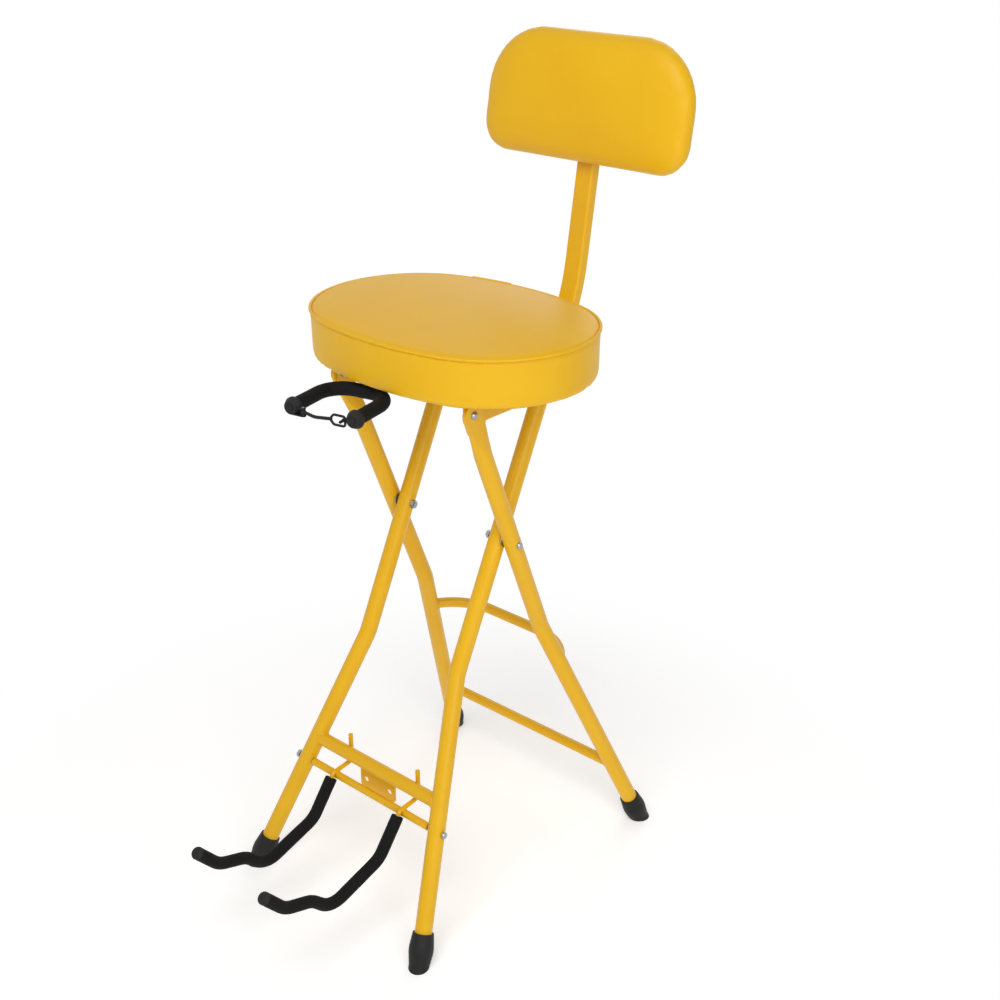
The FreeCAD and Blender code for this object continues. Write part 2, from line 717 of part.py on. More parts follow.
def build_rail():
    """Angle rail under the seat: hinge hole at the front, slanted open notch for the cross rod at the rear."""
    body = new_body("seat_rail_right", seat_frame)
    low = "(seat_gap - rail_depth)"
    web = new_sketch(body, "YZ_Plane", ("0", "0", RAIL_OUT + " - rail_thick"))
    corners = [("-rail_front", "seat_gap - weld_gap"), ("-rail_front", low), (RAIL_REAR, low),
               (RAIL_REAR, "seat_gap - weld_gap")]
    draw_runs(web, corners, ["0", "rail_front", "rail_front", "0"], True)
    add_pad(body, web, "rail_thick")
    flange = new_sketch(body, "XY_Plane", ("0", "0", "seat_gap - weld_gap - rail_thick"))
    edge = "(%s - rail_flange)" % RAIL_OUT
    corners = [(RAIL_OUT, "-rail_front"), (RAIL_OUT, RAIL_REAR), (edge, RAIL_REAR), (edge, "-rail_front")]
    draw_runs(flange, corners, ["0", "0", "rail_bend", "rail_bend"], True)
    for screw_y in RAIL_SCREW_Y:
        draw_circle(flange, "screw_dia + 2 * weld_gap", (RAIL_SCREW_X, screw_y))
    add_pad(body, flange, "rail_thick")
    drill(body, "(bolt_dia + 2 * running_gap)", "2 * rear_spread", Placement(Vector(), ALONG_X))
    notch = new_sketch(body, "YZ_Plane")
    half = "(rod_dia / 2 + notch_gap)"
    corners = [notch_corner("-" + half, "-" + half), notch_corner("-" + half, half),
               notch_corner("2 * rail_depth", half), notch_corner("2 * rail_depth", "-" + half)]
    draw_runs(notch, corners, [half + " * 0.98", half + " * 0.98", "0", "0"], True)
    pocket = body.newObject("PartDesign::Pocket", "seat_rail_notch")
    pocket.Profile = notch
    pocket.Type = "ThroughAll"
    pocket.Reversed = True
    return body


rail = build_rail()
keep(rail, mirrored("seat_rail_left", rail))


def together(label, pieces):
    group = doc.addObject("Part::Compound", label)
    group.Label = label
    group.Links = pieces
    return group


HEAD_DOWN = Rotation(Vector(1, 0, 0), 180)
RAIL_UNDER = "seat_gap - 2 * weld_gap - rail_thick"
rail_screws = []
for number, screw_y in enumerate(RAIL_SCREW_Y):
    right = build_bolt("rail_screw_%d" % number, "rail_thick + 0.6 * board_thick",
                       at(seat_frame, RAIL_SCREW_X, screw_y, RAIL_UNDER, HEAD_DOWN),
                       "screw_dia", "screw_head_dia", "screw_head_height")
    rail_screws += [right, mirrored("rail_screw_%d_left" % number, right)]
keep(together("rail_screws", rail_screws))

# Backrest post
POST_Z = "(seat_gap - weld_gap - post_depth / 2)"
POST_TOP = ("(post_knee_y + post_length * sin(back_lean))", "(post_knee_z + post_length * cos(back_lean))")
POST_BOLTS = ["post_start + post_bolt_gap / 4", "post_start + post_bolt_gap * 1.25"]
back_frame = at(seat_frame, "0", "post_knee_y + pad_centre * sin(back_lean) - post_depth / 2 * cos(back_lean)",
                "post_knee_z + pad_centre * cos(back_lean) + post_depth / 2 * sin(back_lean)",
                Rotation(Vector(1, 0, 0), 90 - num("back_lean")))
BACK_BOLTS = ["-back_bolt_gap / 2", "back_bolt_gap / 2"]


def draw_flat_tube(sketch, shrink):
    half_width = "(post_width / 2 - %s)" % shrink
    half_depth = "(post_depth / 2 - %s)" % shrink
    corners = [("-" + half_width, "-" + half_depth), (half_width, "-" + half_depth), (half_width, half_depth),
               ("-" + half_width, half_depth)]
    draw_runs(sketch, corners, ["post_corner - %s" % shrink] * 4, True)


def build_post():
    """Flat-sided tube: bolted along under the seat, bent up behind it, leaning back to the pad."""
    body = new_body("backrest_post", seat_frame)
    spine = new_sketch(body, "YZ_Plane")
    corners = [("post_start", POST_Z), ("post_low_y", POST_Z), ("post_knee_y", "post_knee_z"), POST_TOP]
    draw_runs(spine, corners, ["0", "post_low_radius", "post_knee_radius", "0"], False)
    profile = new_sketch(body, "XZ_Plane", ("0", POST_Z, "-post_start"))
    draw_flat_tube(profile, "0 * post_wall")
    draw_flat_tube(profile, "post_wall")
    add_pipe(body, profile, spine)
    for bolt_y in POST_BOLTS:
        drill(body, "(bolt_dia + 2 * weld_gap)", "2 * post_depth", Placement(Vector(0, num(bolt_y), 0), UP))
    local = seat_frame.inverse().multiply(back_frame)
    for rise in BACK_BOLTS:
        drill(body, "(bolt_dia + 2 * weld_gap)", "2 * post_depth", at(local, "0", rise, "-1.5 * post_depth"))
    return body


keep(build_post())


def build_post_plug():
    body = new_body("post_plug", at(seat_frame, "0", POST_TOP[0], POST_TOP[1] + " + weld_gap",
                                    Rotation(Vector(1, 0, 0), -num("back_lean"))))
    head = new_sketch(body, "XY_Plane")
    draw_flat_tube(head, "0 * post_wall")
    add_pad(body, head, "2 * washer_thick")
    insert = new_sketch(body, "XY_Plane", ("0", "0", "-post_depth / 2"))
    draw_flat_tube(insert, "(post_wall + weld_gap)")
    add_pad(body, insert, "post_depth / 2")
    return body


keep(build_post_plug())
post_bolts = [build_bolt("post_bolt_%d" % number, "post_depth + 0.8 * board_thick",
                         at(seat_frame, "0", bolt_y, "seat_gap - 2 * weld_gap - post_depth", HEAD_DOWN))
              for number, bolt_y in enumerate(POST_BOLTS)]
keep(together("post_bolts", post_bolts))
back_bolts = [build_bolt("back_bolt_%d" % number, "post_depth + 0.8 * back_board_thick",
                         at(back_frame, "0", rise, "-post_depth - weld_gap", HEAD_DOWN))
              for number, rise in enumerate(BACK_BOLTS)]
keep(together("backrest_bolts", back_bolts))

# Backrest board and pad, drawn flat in the leaning frame with the front along its Z axis

def pad_wire(inset, height):
    """Rounded outline of the backrest, a distance inside its widest outline."""
    half_width = num("pad_width / 2")
    half_height = num("pad_height / 2")
    edges = []
    ends = []
    for side_x, side_y, name, start in ((1, 1, "pad_top_radius", 0), (-1, 1, "pad_top_radius", 90),
                                        (-1, -1, "pad_bottom_radius", 180), (1, -1, "pad_bottom_radius", 270)):
        radius = num(name)
        middle = Vector(side_x * (half_width - radius), side_y * (half_height - radius), height)
        circle = Part.Circle(middle, Vector(0, 0, 1), radius - inset)
        arc = Part.ArcOfCircle(circle, math.radians(start), math.radians(start + 90))
        ends.append((arc.StartPoint, arc.EndPoint))
        edges.append(arc.toShape())
    wire = []
    for number, edge in enumerate(edges):
        wire += [edge, Part.makeLine(ends[number][1], ends[(number + 1) % 4][0])]
    return Part.Wire(wire)


def build_back_board():
    gap = num("weld_gap")
    shape = Part.Face(pad_wire(num("back_board_inset"), gap)).extrude(Vector(0, 0, num("back_board_thick")))
    for rise in BACK_BOLTS:
        shape = shape.cut(Part.makeCylinder(num("bolt_dia / 2 + weld_gap"), num("back_board_thick"),
                                            Vector(0, num(rise), 0)))
    return solid_feature("backrest_board", shape, back_frame)


def build_back_pad():
    """Soft pad pulled over the board: round at the back edge, fullest near the back, crowned in front."""
    thick = num("pad_thick")
    belly = num("pad_belly")
    gap = num("side_gap")
    rise = thick - belly
    back_board = num("back_board_inset")
    sections = [(0.6 * back_board, 2 * gap), (0.12 * back_board, 0.4 * belly), (0, belly),
                (0.12 * back_board, belly + 0.28 * rise), (0.5 * back_board, belly + 0.56 * rise),
                (1.3 * back_board, belly + 0.84 * rise), (2.8 * back_board, thick)]
    pad = Part.makeLoft([pad_wire(inset, height) for inset, height in sections], True)
    pocket = Part.Face(pad_wire(back_board - gap, 0)).extrude(Vector(0, 0, num("back_board_thick") + 2 * gap))
    return solid_feature("backrest_pad", pad.cut(pocket), back_frame)


keep(build_back_board(), build_back_pad())

# Cradle: a tube on the long bolt with two padded wire arms, and stubs that rest against the crossbar
ARM_ROOT = ("-6", "6")
ARM_POINTS = [("-45", "-45"), ("-128", "-68.5"), ("-157", "-40"), ("-198", "-25.5"), ("-226", "7.5")]
ARM_RADII = ["30", "34", "40", "40", "0"]
STUB_Y = "(axle_below * sin(front_lean) + (crossbar_dia + arm_wire_dia) / 2 + stub_gap)"
STUB_POINTS = [(STUB_Y, "(axle_below * cos(front_lean) + stub_over)"),
               (STUB_Y, "1.5 * arm_wire_dia")]
AXLE_INNER = "(%s - tube_dia / 2 / cos(splay) - axle_tube_dia / 2 * tan(splay) - axle_end_gap)" % spread_at(
    FRONT_SPREAD, "front_kink_drop", AXLE_DROP)


def build_cradle_frame():
    body = new_body("cradle_frame", cradle_frame)
    ring = new_sketch(body, "YZ_Plane", ("0", "0", "-" + AXLE_INNER))
    draw_circle(ring, "axle_tube_dia")
    add_pad(body, ring, "2 * " + AXLE_INNER)
    for side in ("", "-"):
        spine = new_sketch(body, "YZ_Plane", ("0", "0", side + "arm_spread"))
        draw_runs(spine, STUB_POINTS + [ARM_ROOT] + ARM_POINTS, ["0", "8", "8"] + ARM_RADII, False)
        profile = new_sketch(body, "XY_Plane", (side + "arm_spread", STUB_POINTS[0][0], STUB_POINTS[0][1]))
        draw_circle(profile, "arm_wire_dia")
        add_pipe(body, profile, spine)
    start = Placement(Vector(-num(AXLE_INNER), 0, 0), ALONG_X)
    drill(body, "(bolt_dia + 2 * running_gap)", "2 * " + AXLE_INNER, start)
    return body


keep(build_cradle_frame())
ROOT_ANGLE = math.atan2(num(ARM_POINTS[0][1]) - num(ARM_ROOT[1]), num(ARM_POINTS[0][0]) - num(ARM_ROOT[0]))
FOAM_START = ("%s + arm_foam_start * %.4f" % (ARM_ROOT[0], math.cos(ROOT_ANGLE)),
              "%s + arm_foam_start * %.4f" % (ARM_ROOT[1], math.sin(ROOT_ANGLE)))


def build_arm_foam():
    body = new_body("cradle_foam_right", cradle_frame)
    spine = new_sketch(body, "YZ_Plane", ("0", "0", "arm_spread"))
    draw_runs(spine, [FOAM_START] + ARM_POINTS, ["0"] + ARM_RADII, False)
    profile = new_sketch(body, "XY_Plane", ("arm_spread", FOAM_START[0], FOAM_START[1]))
    profile.AttachmentOffset = Placement(profile.AttachmentOffset.Base,
                                         Rotation(Vector(1, 0, 0), math.degrees(ROOT_ANGLE) + 90))
    draw_circle(profile, "arm_foam_dia")
    draw_circle(profile, "arm_wire_dia + 2 * weld_gap")
    add_pipe(body, profile, spine)
    return body


foam = build_arm_foam()
keep(foam, mirrored("cradle_foam_left", foam))


def build_arm_tip():
    """Rubber button over the end of an arm."""
    tip_run = Vector(0, num(ARM_POINTS[-1][0]) - num(ARM_POINTS[-2][0]), num(ARM_POINTS[-1][1]) - num(ARM_POINTS[-2][1]))
    place = at(cradle_frame, "arm_spread", ARM_POINTS[-1][0], ARM_POINTS[-1][1], Rotation(Vector(0, 0, 1), tip_run))
    body = new_body("cradle_tip_right", place)
    sketch = new_sketch(body, "XZ_Plane")
    half = "(arm_foam_dia / 2)"
    corners = [("0", "weld_gap"), (half, "weld_gap"), (half, "arm_tip_length"), ("0", "arm_tip_length")]
    draw_runs(sketch, corners, ["0", "0", "arm_tip_length * 0.7", "0"], True)
    add_turning(body, sketch)
    return body


tip = build_arm_tip()
keep(tip, mirrored("cradle_tip_left", tip))

# Neck yoke: a padded fork on a stem that slides in a guide beside the post
yoke_frame = at(seat_frame, "-yoke_offset", "-yoke_centre", "seat_gap - yoke_drop",
                Rotation(Vector(0, 0, 1), num("yoke_turn")))
FORK = [("-yoke_radius", "-yoke_arm"), ("-yoke_radius", "yoke_radius"), ("yoke_radius", "yoke_radius"),
        ("yoke_radius", "-yoke_arm")]
FORK_RADII = ["0", "yoke_bend", "yoke_bend", "0"]
CAP_GRIP = "(yoke_cap_length * 0.6)"
STEM_END = "(yoke_centre + guide_front + guide_length + 2 * stop_pin_dia + side_gap)"


def build_yoke_rod():
    body = new_body("yoke_rod", yoke_frame)
    spine = new_sketch(body, "XY_Plane")
    longer = [(x, y + " - " + CAP_GRIP if y == "-yoke_arm" else y) for x, y in FORK]
    draw_runs(spine, longer, FORK_RADII, False)
    profile = new_sketch(body, "XZ_Plane", ("-yoke_radius", "0", "yoke_arm + " + CAP_GRIP))
    draw_circle(profile, "yoke_wire_dia")
    add_pipe(body, profile, spine)
    stem = new_sketch(body, "XZ_Plane", ("0", "0", "-" + STEM_END))
    draw_circle(stem, "yoke_wire_dia")
    add_pad(body, stem, STEM_END + " - yoke_radius")
    pin = Placement(Vector(-num("yoke_wire_dia"), num(STEM_END + " - stop_pin_dia * 1.5"), 0), ALONG_X)
    drill(body, "(stop_pin_dia + 2 * weld_gap)", "2 * yoke_wire_dia", pin)
    return body


def build_yoke_foam():
    body = new_body("yoke_foam", yoke_frame)
    spine = new_sketch(body, "XY_Plane")
    draw_runs(spine, FORK, FORK_RADII, False)
    profile = new_sketch(body, "XZ_Plane", ("-yoke_radius", "0", "yoke_arm"))
    draw_circle(profile, "yoke_foam_dia")
    draw_circle(profile, "yoke_wire_dia + 2 * weld_gap")
    add_pipe(body, profile, spine)
    stem = Placement(Vector(0, num("yoke_radius"), 0), Rotation(Vector(1, 0, 0), -90))
    drill(body, "(yoke_wire_dia + 2 * weld_gap)", "yoke_foam_dia", stem)
    return body


keep(build_yoke_rod(), build_yoke_foam())

# Caps on the fork's ends. The left one carries the strap's hinge lugs, the right one a peg for its loop.
STRAP_X = "(strap_eye_out - yoke_radius)"
STRAP_OUT = "(0.55 * yoke_cap_length)"
STRAP_Y = "(-yoke_arm - %s)" % STRAP_OUT
STRAP_Z = "(-yoke_cap_dia * 0.16)"
LUG_GAP = "(strap_width * 0.8)"
LUG_THICK = "(strap_width * 0.4)"
LOOP_END = "(yoke_radius - yoke_cap_dia / 2)"
LOOP_WALL = "(strap_thick * 0.9)"
PEG_X = "(%s - %s - peg_dia / 2 - 3 * side_gap)" % (LOOP_END, LOOP_WALL)
PEG_Z = "(-yoke_cap_dia * 0.2)"


def build_yoke_cap(label, side):
    """Mushroom-shaped rubber cap with a small button on its end."""
    face = Rotation(Vector(1, 0, 0), 90)
    body = new_body(label, at(yoke_frame, side + "yoke_radius", "-yoke_arm", "0", face))
    sketch = new_sketch(body, "XZ_Plane")
    bore = "(yoke_wire_dia / 2 + weld_gap)"
    corners = [(bore, "weld_gap"), ("yoke_foam_dia / 2", "weld_gap"), ("yoke_cap_dia / 2", "0.25 * yoke_cap_length"),
               ("yoke_cap_dia / 2", "0.45 * yoke_cap_length"), ("0.36 * yoke_cap_dia", "0.9 * yoke_cap_length"),
               ("0.2 * yoke_cap_dia", "0.9 * yoke_cap_length"), ("0.17 * yoke_cap_dia", "yoke_cap_length"),
               ("0", "yoke_cap_length"), ("0", CAP_GRIP + " + weld_gap"), (bore, CAP_GRIP + " + weld_gap")]
    radii = ["0", "0", "1.5", "2.5", "1.5", "0", "0", "0", "0", "0"]
    draw_runs(sketch, corners, radii, True)
    add_turning(body, sketch)
    return body


def build_left_cap():
    """Cap with two lugs that reach inwards and hold the strap's pin."""
    body = build_yoke_cap("yoke_cap_left", "-")
    half = "(strap_eye_dia / 2)"
    tip = "(strap_eye_out + %s)" % half
    low, high = "(%s - %s)" % (STRAP_OUT, half), "(%s + %s)" % (STRAP_OUT, half)
    corners = [("0", low), (tip, low), (tip, high), ("0", high)]
    for base in ("%s + %s" % (STRAP_Z, LUG_GAP), "%s - %s - %s" % (STRAP_Z, LUG_GAP, LUG_THICK)):
        lug = new_sketch(body, "XZ_Plane", ("0", "0", "-(%s)" % base + " - " + LUG_THICK))
        draw_runs(lug, corners, ["0", half + " * 0.96", half + " * 0.96", "0"], True)
        add_pad(body, lug, LUG_THICK)
    pin = Placement(Vector(num("strap_eye_out"), num("-yoke_cap_dia"), num(STRAP_OUT)), Rotation(Vector(1, 0, 0), -90))
    drill(body, "(strap_pin_dia + 2 * weld_gap)", "2 * yoke_cap_dia", pin)
    drill(body, "(yoke_wire_dia + 2 * weld_gap)", CAP_GRIP + " + weld_gap", Placement())
    return body


def build_right_cap():
    """Cap with a short bar that reaches inwards behind the loop and carries the peg."""
    body = build_yoke_cap("yoke_cap_right", "")
    peg_at = "(%s - yoke_radius)" % PEG_X
    behind = "(%s - strap_thick / 2 - 3 * side_gap)" % STRAP_OUT
    root = "(-0.35 * yoke_cap_dia)"
    tip = "(%s - 0.6 * peg_dia)" % peg_at
    low, high = "(%s - 0.6 * peg_dia)" % PEG_Z, "(%s + 0.6 * peg_dia)" % PEG_Z
    bar = new_sketch(body, "XY_Plane", ("0", "0", "3 * side_gap"))
    corners = [(root, low), (root, high), (tip, high), (tip, low)]
    draw_runs(bar, corners, ["0", "0", "peg_dia / 2", "peg_dia / 2"], True)
    add_pad(body, bar, behind + " - 3 * side_gap")
    peg = new_sketch(body, "XY_Plane", ("0", "0", "3 * side_gap"))
    draw_circle(peg, "peg_dia", (peg_at, PEG_Z))
    add_pad(body, peg, "0.85 * yoke_cap_length - 3 * side_gap")
    drill(body, "(yoke_wire_dia + 2 * weld_gap)", CAP_GRIP + " + weld_gap", Placement())
    return body


keep(build_left_cap(), build_right_cap())
keep(rod("yoke_stop_pin", "stop_pin_dia", "stop_pin_length",
         at(yoke_frame, "-stop_pin_length / 2", STEM_END + " - stop_pin_dia * 1.5", "0", ALONG_X)))
PIN_HALF = "(%s + %s)" % (LUG_GAP, LUG_THICK)
keep(rod("strap_pin", "strap_pin_dia", "2 * " + PIN_HALF,
         at(yoke_frame, STRAP_X, STRAP_Y, STRAP_Z + " - " + PIN_HALF)))


def build_strap():
    """Rubber strap: an eye on the left cap's pin, a sagging band, and a long loop over the right cap's peg."""
    frame = at(yoke_frame, STRAP_X, STRAP_Y, STRAP_Z)
    body = new_body("yoke_strap", frame)
    eye = new_sketch(body, "XY_Plane", ("0", "0", "-%s + side_gap" % LUG_GAP))
    draw_circle(eye, "strap_eye_dia")
    add_pad(body, eye, "2 * (%s - side_gap)" % LUG_GAP)
    loop_end = "(%s - %s)" % (LOOP_END, STRAP_X)
    loop_start = "(%s - loop_length)" % loop_end
    loop_z = "(%s - %s)" % (PEG_Z, STRAP_Z)
    half = "(strap_width / 2)"
    dip = "(loop_length * 0.7)"
    band = new_sketch(body, "XZ_Plane", ("0", "0", "-strap_thick / 2"))
    joined = "(%s + strap_thick / 2)" % loop_start
    corners = [("0", "-" + half), (dip, "-%s - strap_sag / 2" % half), (joined, "%s - %s" % (loop_z, half)),
               (joined, "%s + %s" % (loop_z, half)), (dip, "%s - strap_sag / 2" % half), ("0", half)]
    draw_runs(band, corners, ["0", "loop_length", "0", "0", "loop_length", "0"], True)
    add_pad(body, band, "strap_thick")
    loop = new_sketch(body, "XZ_Plane", ("0", "0", "-strap_thick / 2"))
    for shrink in ("0 * strap_thick", LOOP_WALL):
        tall = "(loop_height / 2 - %s)" % shrink
        corners = [("%s + %s" % (loop_start, shrink), "%s - %s" % (loop_z, tall)),
                   ("%s - %s" % (loop_end, shrink), "%s - %s" % (loop_z, tall)),
                   ("%s - %s" % (loop_end, shrink), "%s + %s" % (loop_z, tall)),
                   ("%s + %s" % (loop_start, shrink), "%s + %s" % (loop_z, tall))]
        draw_runs(loop, corners, [tall + " * 0.96"] * 4, True)
    add_pad(body, loop, "strap_thick")
    hole = Placement(Vector(0, 0, -num("strap_width")), UP)
    drill(body, "(strap_pin_dia + 2 * running_gap)", "2 * strap_width", hole)
    return body


keep(build_strap())

# Guide block for the stem, screwed under the board through its side flanges
GUIDE_WING = "(guide_width * 0.82)"
WING_THICK = "(guide_height * 0.22)"
GUIDE_SCREW = "(guide_width * 0.6)"


def build_guide():
    body = new_body("yoke_guide", at(yoke_frame, "0", "yoke_centre + guide_front", "yoke_drop - weld_gap"))
    sketch = new_sketch(body, "XZ_Plane", ("0", "0", "-guide_length"))
    half = "(guide_width * 0.36)"
    corners = [("-" + GUIDE_WING, "0"), ("-" + GUIDE_WING, "-" + WING_THICK), ("-" + half, "-" + WING_THICK),
               ("-" + half, "-guide_height"), (half, "-guide_height"), (half, "-" + WING_THICK),
               (GUIDE_WING, "-" + WING_THICK), (GUIDE_WING, "0")]
    draw_runs(sketch, corners, ["0", "0", "0", "2", "2", "0", "0", "0"], True)
    draw_circle(sketch, "yoke_wire_dia + 2 * running_gap", ("0", "weld_gap - yoke_drop"))
    add_pad(body, sketch, "guide_length")
    for side in ("-", ""):
        screw = Placement(Vector(num(side + GUIDE_SCREW), num("guide_length / 2"), -num("guide_height")), UP)
        drill(body, "(screw_dia + 2 * weld_gap)", "2 * guide_height", screw)
    return body


keep(build_guide())
guide_places = [at(yoke_frame, side + GUIDE_SCREW, "yoke_centre + guide_front + guide_length / 2",
                   "yoke_drop - 2 * weld_gap - " + WING_THICK, HEAD_DOWN) for side in ("-", "1 * ")]
guide_screws = [build_bolt("guide_screw_%d" % number, WING_THICK + " + 0.6 * board_thick", place,
                           "screw_dia", "screw_head_dia", "screw_head_height")
                for number, place in enumerate(guide_places)]
keep(together("guide_screws", guide_screws))

# The seat board, drilled for everything screwed into it
def build_seat_board():
    shape = raised(oval_wire(num("board_inset"), UNDERSIDE), num("board_thick"))
    places = [(0, num(bolt_y), "bolt_dia") for bolt_y in POST_BOLTS]
    for side in ("-", ""):
        places += [(num(side + RAIL_SCREW_X), num(screw_y), "screw_dia") for screw_y in RAIL_SCREW_Y]
    for place in guide_places:
        point = seat_frame.inverse().multVec(place.Base)
        places.append((point.x, point.y, "screw_dia"))
    for x, y, dia in places:
        hole = Part.makeCylinder(num(dia + " / 2 + weld_gap"), num("board_thick"), Vector(x, y, UNDERSIDE))
        shape = shape.cut(hole)
    return solid_feature("seat_board", shape, seat_frame)


keep(build_seat_board())
doc.recompute()

# Check every object, then write one file for each node
for thing in doc.Objects:
    if "Invalid" in thing.State or "Error" in thing.State:
        raise RuntimeError("not built: %s %s" % (thing.Label, thing.State))
os.makedirs("parts", exist_ok=True)
for node in NODES:
    if node.Shape.isNull() or not node.Shape.isValid():
        raise RuntimeError("bad shape: " + node.Label)
    node.Shape.exportStep("parts/%s.step" % node.Label)
print("nodes", len(NODES))
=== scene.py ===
# %% [markdown]
# # A folding guitar stool
# The stool was modelled in CAD first, so every tube, bolt and hinge is already in place and moves on its
# own body. What CAD can't give is the look. Here each surface gets its finish, and the soft pieces, which
# CAD can only hold as plain solids, are made again as vinyl, foam and rubber. We start by loading the frame
# and noting the size of its box.

# %% Load the frame
import json
import math

import bpy
import numpy as np
from mathutils import Matrix, Vector, noise


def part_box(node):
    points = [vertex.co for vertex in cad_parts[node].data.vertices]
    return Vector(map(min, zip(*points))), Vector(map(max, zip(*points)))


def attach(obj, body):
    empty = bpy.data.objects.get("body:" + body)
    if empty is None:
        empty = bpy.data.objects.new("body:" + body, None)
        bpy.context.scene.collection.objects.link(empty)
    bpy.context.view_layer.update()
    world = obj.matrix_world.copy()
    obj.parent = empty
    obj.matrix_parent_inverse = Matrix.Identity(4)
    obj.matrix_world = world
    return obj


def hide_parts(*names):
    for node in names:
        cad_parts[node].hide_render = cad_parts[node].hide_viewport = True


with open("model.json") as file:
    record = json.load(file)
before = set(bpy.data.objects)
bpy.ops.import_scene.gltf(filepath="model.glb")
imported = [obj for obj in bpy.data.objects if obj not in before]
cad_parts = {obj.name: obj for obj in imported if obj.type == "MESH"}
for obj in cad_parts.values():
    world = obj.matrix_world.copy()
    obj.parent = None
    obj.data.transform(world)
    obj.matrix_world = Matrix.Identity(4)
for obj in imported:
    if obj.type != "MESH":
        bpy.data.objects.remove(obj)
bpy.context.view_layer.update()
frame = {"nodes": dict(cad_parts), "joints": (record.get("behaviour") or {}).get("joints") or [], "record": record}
MM = 0.001
joints = {joint["name"]: joint for joint in frame["joints"]}
PIVOT = Vector(joints["leg_fold"]["pos_m"])
HINGE = Vector(joints["seat_fold"]["pos_m"])
AXLE = Vector(joints["cradle_fold"]["pos_m"])

# %% [markdown]
# ## Camera
# The photograph was matched by its perspective: the camera stands in front of the stool and to one side,
# looks down by 25 degrees, and has a lens of about 52 mm on a 36 mm sensor. A guessed lens with a moved
# camera would fit the outline, but not how fast the far legs get smaller, so both were fitted together.

# %% Camera
LENS_MM, SENSOR_MM = 51.79, 36.0
CAMERA_AT = (1.1253, -1.1367, 1.2694)
CAMERA_TILT, CAMERA_TURN = 64.994, 41.266
camera_data = bpy.data.cameras.new("photo_camera")
camera_data.lens = LENS_MM
camera_data.sensor_width = SENSOR_MM
camera = bpy.data.objects.new("photo_camera", camera_data)
camera.location = CAMERA_AT
camera.rotation_euler = (math.radians(CAMERA_TILT), 0.0, math.radians(CAMERA_TURN))
bpy.context.scene.collection.objects.link(camera)
bpy.context.scene.camera = camera
print("camera at", CAMERA_AT, "with a lens of", LENS_MM, "mm")

# %% [markdown]
# ## Studio
# A product shot needs a pale room and soft light. One could flood everything with light until the
# background is white, but that bleaches the object. Instead the room is white only to rays from the camera
# and in reflections, and lights the stool more gently than that, so the yellow keeps its depth.

# %% Rays that see the white room
scene = bpy.context.scene
scene.view_settings.view_transform = "Standard"


def link(obj):
    scene.collection.objects.link(obj)
    return obj


def seen_rays(tree):
    """1 for rays from the camera, in reflections and through glass, and 0 for the rest of the light."""
    rays = tree.nodes.new("ShaderNodeLightPath").outputs
    seen = rays["Is Camera Ray"]
    for kind in ("Is Glossy Ray", "Is Transmission Ray"):
        either = tree.nodes.new("ShaderNodeMath")
        either.operation = "MAXIMUM"
        tree.links.new(seen, either.inputs[0])
        tree.links.new(rays[kind], either.inputs[1])
        seen = either.outputs[0]
    return seen


def mixed(tree, share, first, second):
    mix = tree.nodes.new("ShaderNodeMixShader")
    tree.links.new(share, mix.inputs[0])
    tree.links.new(first, mix.inputs[1])
    tree.links.new(second, mix.inputs[2])
    return mix.outputs[0]


# %% World
ROOM_LIGHT = 0.35
WHITE = (1.0, 1.0, 1.0, 1.0)
world = bpy.data.worlds.new("studio")
world.use_nodes = True
scene.world = world
sky = world.node_tree
room_light = sky.nodes["Background"]
room_light.inputs["Color"].default_value = WHITE
room_light.inputs["Strength"].default_value = ROOM_LIGHT
white_room = sky.nodes.new("ShaderNodeBackground")
white_room.inputs["Color"].default_value = WHITE
white_room.inputs["Strength"].default_value = 1.0
room = mixed(sky, seen_rays(sky), room_light.outputs[0], white_room.outputs[0])
sky.links.new(room, sky.nodes["World Output"].inputs[0])
print("room light", ROOM_LIGHT)

# %% [markdown]
# The floor near the stool is pale paint that takes a faint shadow, so the feet stand on something. Further
# off it goes over into plain white. A floor that only catches shadows would need compositing, while this
# one is a single material that fades with the distance from the stool.

# %% Floor paint
FLOOR_PALE = (0.92, 0.92, 0.92, 1.0)
FLOOR_GLOW = 0.3
floor_paint = bpy.data.materials.new("floor_paint")
floor_paint.use_nodes = True
paint = floor_paint.node_tree
floor_shader = paint.nodes["Principled BSDF"]
floor_shader.inputs["Base Color"].default_value = FLOOR_PALE
floor_shader.inputs["Roughness"].default_value = 0.9
floor_shader.inputs["Specular IOR Level"].default_value = 0.1
floor_shader.inputs["Emission Color"].default_value = WHITE
floor_shader.inputs["Emission Strength"].default_value = FLOOR_GLOW
white_floor = paint.nodes.new("ShaderNodeEmission")
white_floor.inputs["Strength"].default_value = 1.0
print("floor glows at", FLOOR_GLOW)

# %% Fade to white
SHADOW_NEAR, SHADOW_FAR = 0.28, 0.8
spot = paint.nodes.new("ShaderNodeTexCoord")
distance = paint.nodes.new("ShaderNodeVectorMath")
distance.operation = "LENGTH"
paint.links.new(spot.outputs["Object"], distance.inputs[0])
fade = paint.nodes.new("ShaderNodeMapRange")
fade.interpolation_type = "SMOOTHSTEP"
fade.inputs["From Min"].default_value = SHADOW_NEAR
fade.inputs["From Max"].default_value = SHADOW_FAR
paint.links.new(distance.outputs["Value"], fade.inputs["Value"])
share = paint.nodes.new("ShaderNodeMath")
share.operation = "MULTIPLY"
paint.links.new(fade.outputs["Result"], share.inputs[0])
paint.links.new(seen_rays(paint), share.inputs[1])
ground = mixed(paint, share.outputs[0], floor_shader.outputs[0], white_floor.outputs[0])
paint.links.new(ground, paint.nodes["Material Output"].inputs["Surface"])
print("floor fades to white from", SHADOW_NEAR, "to", SHADOW_FAR, "m")

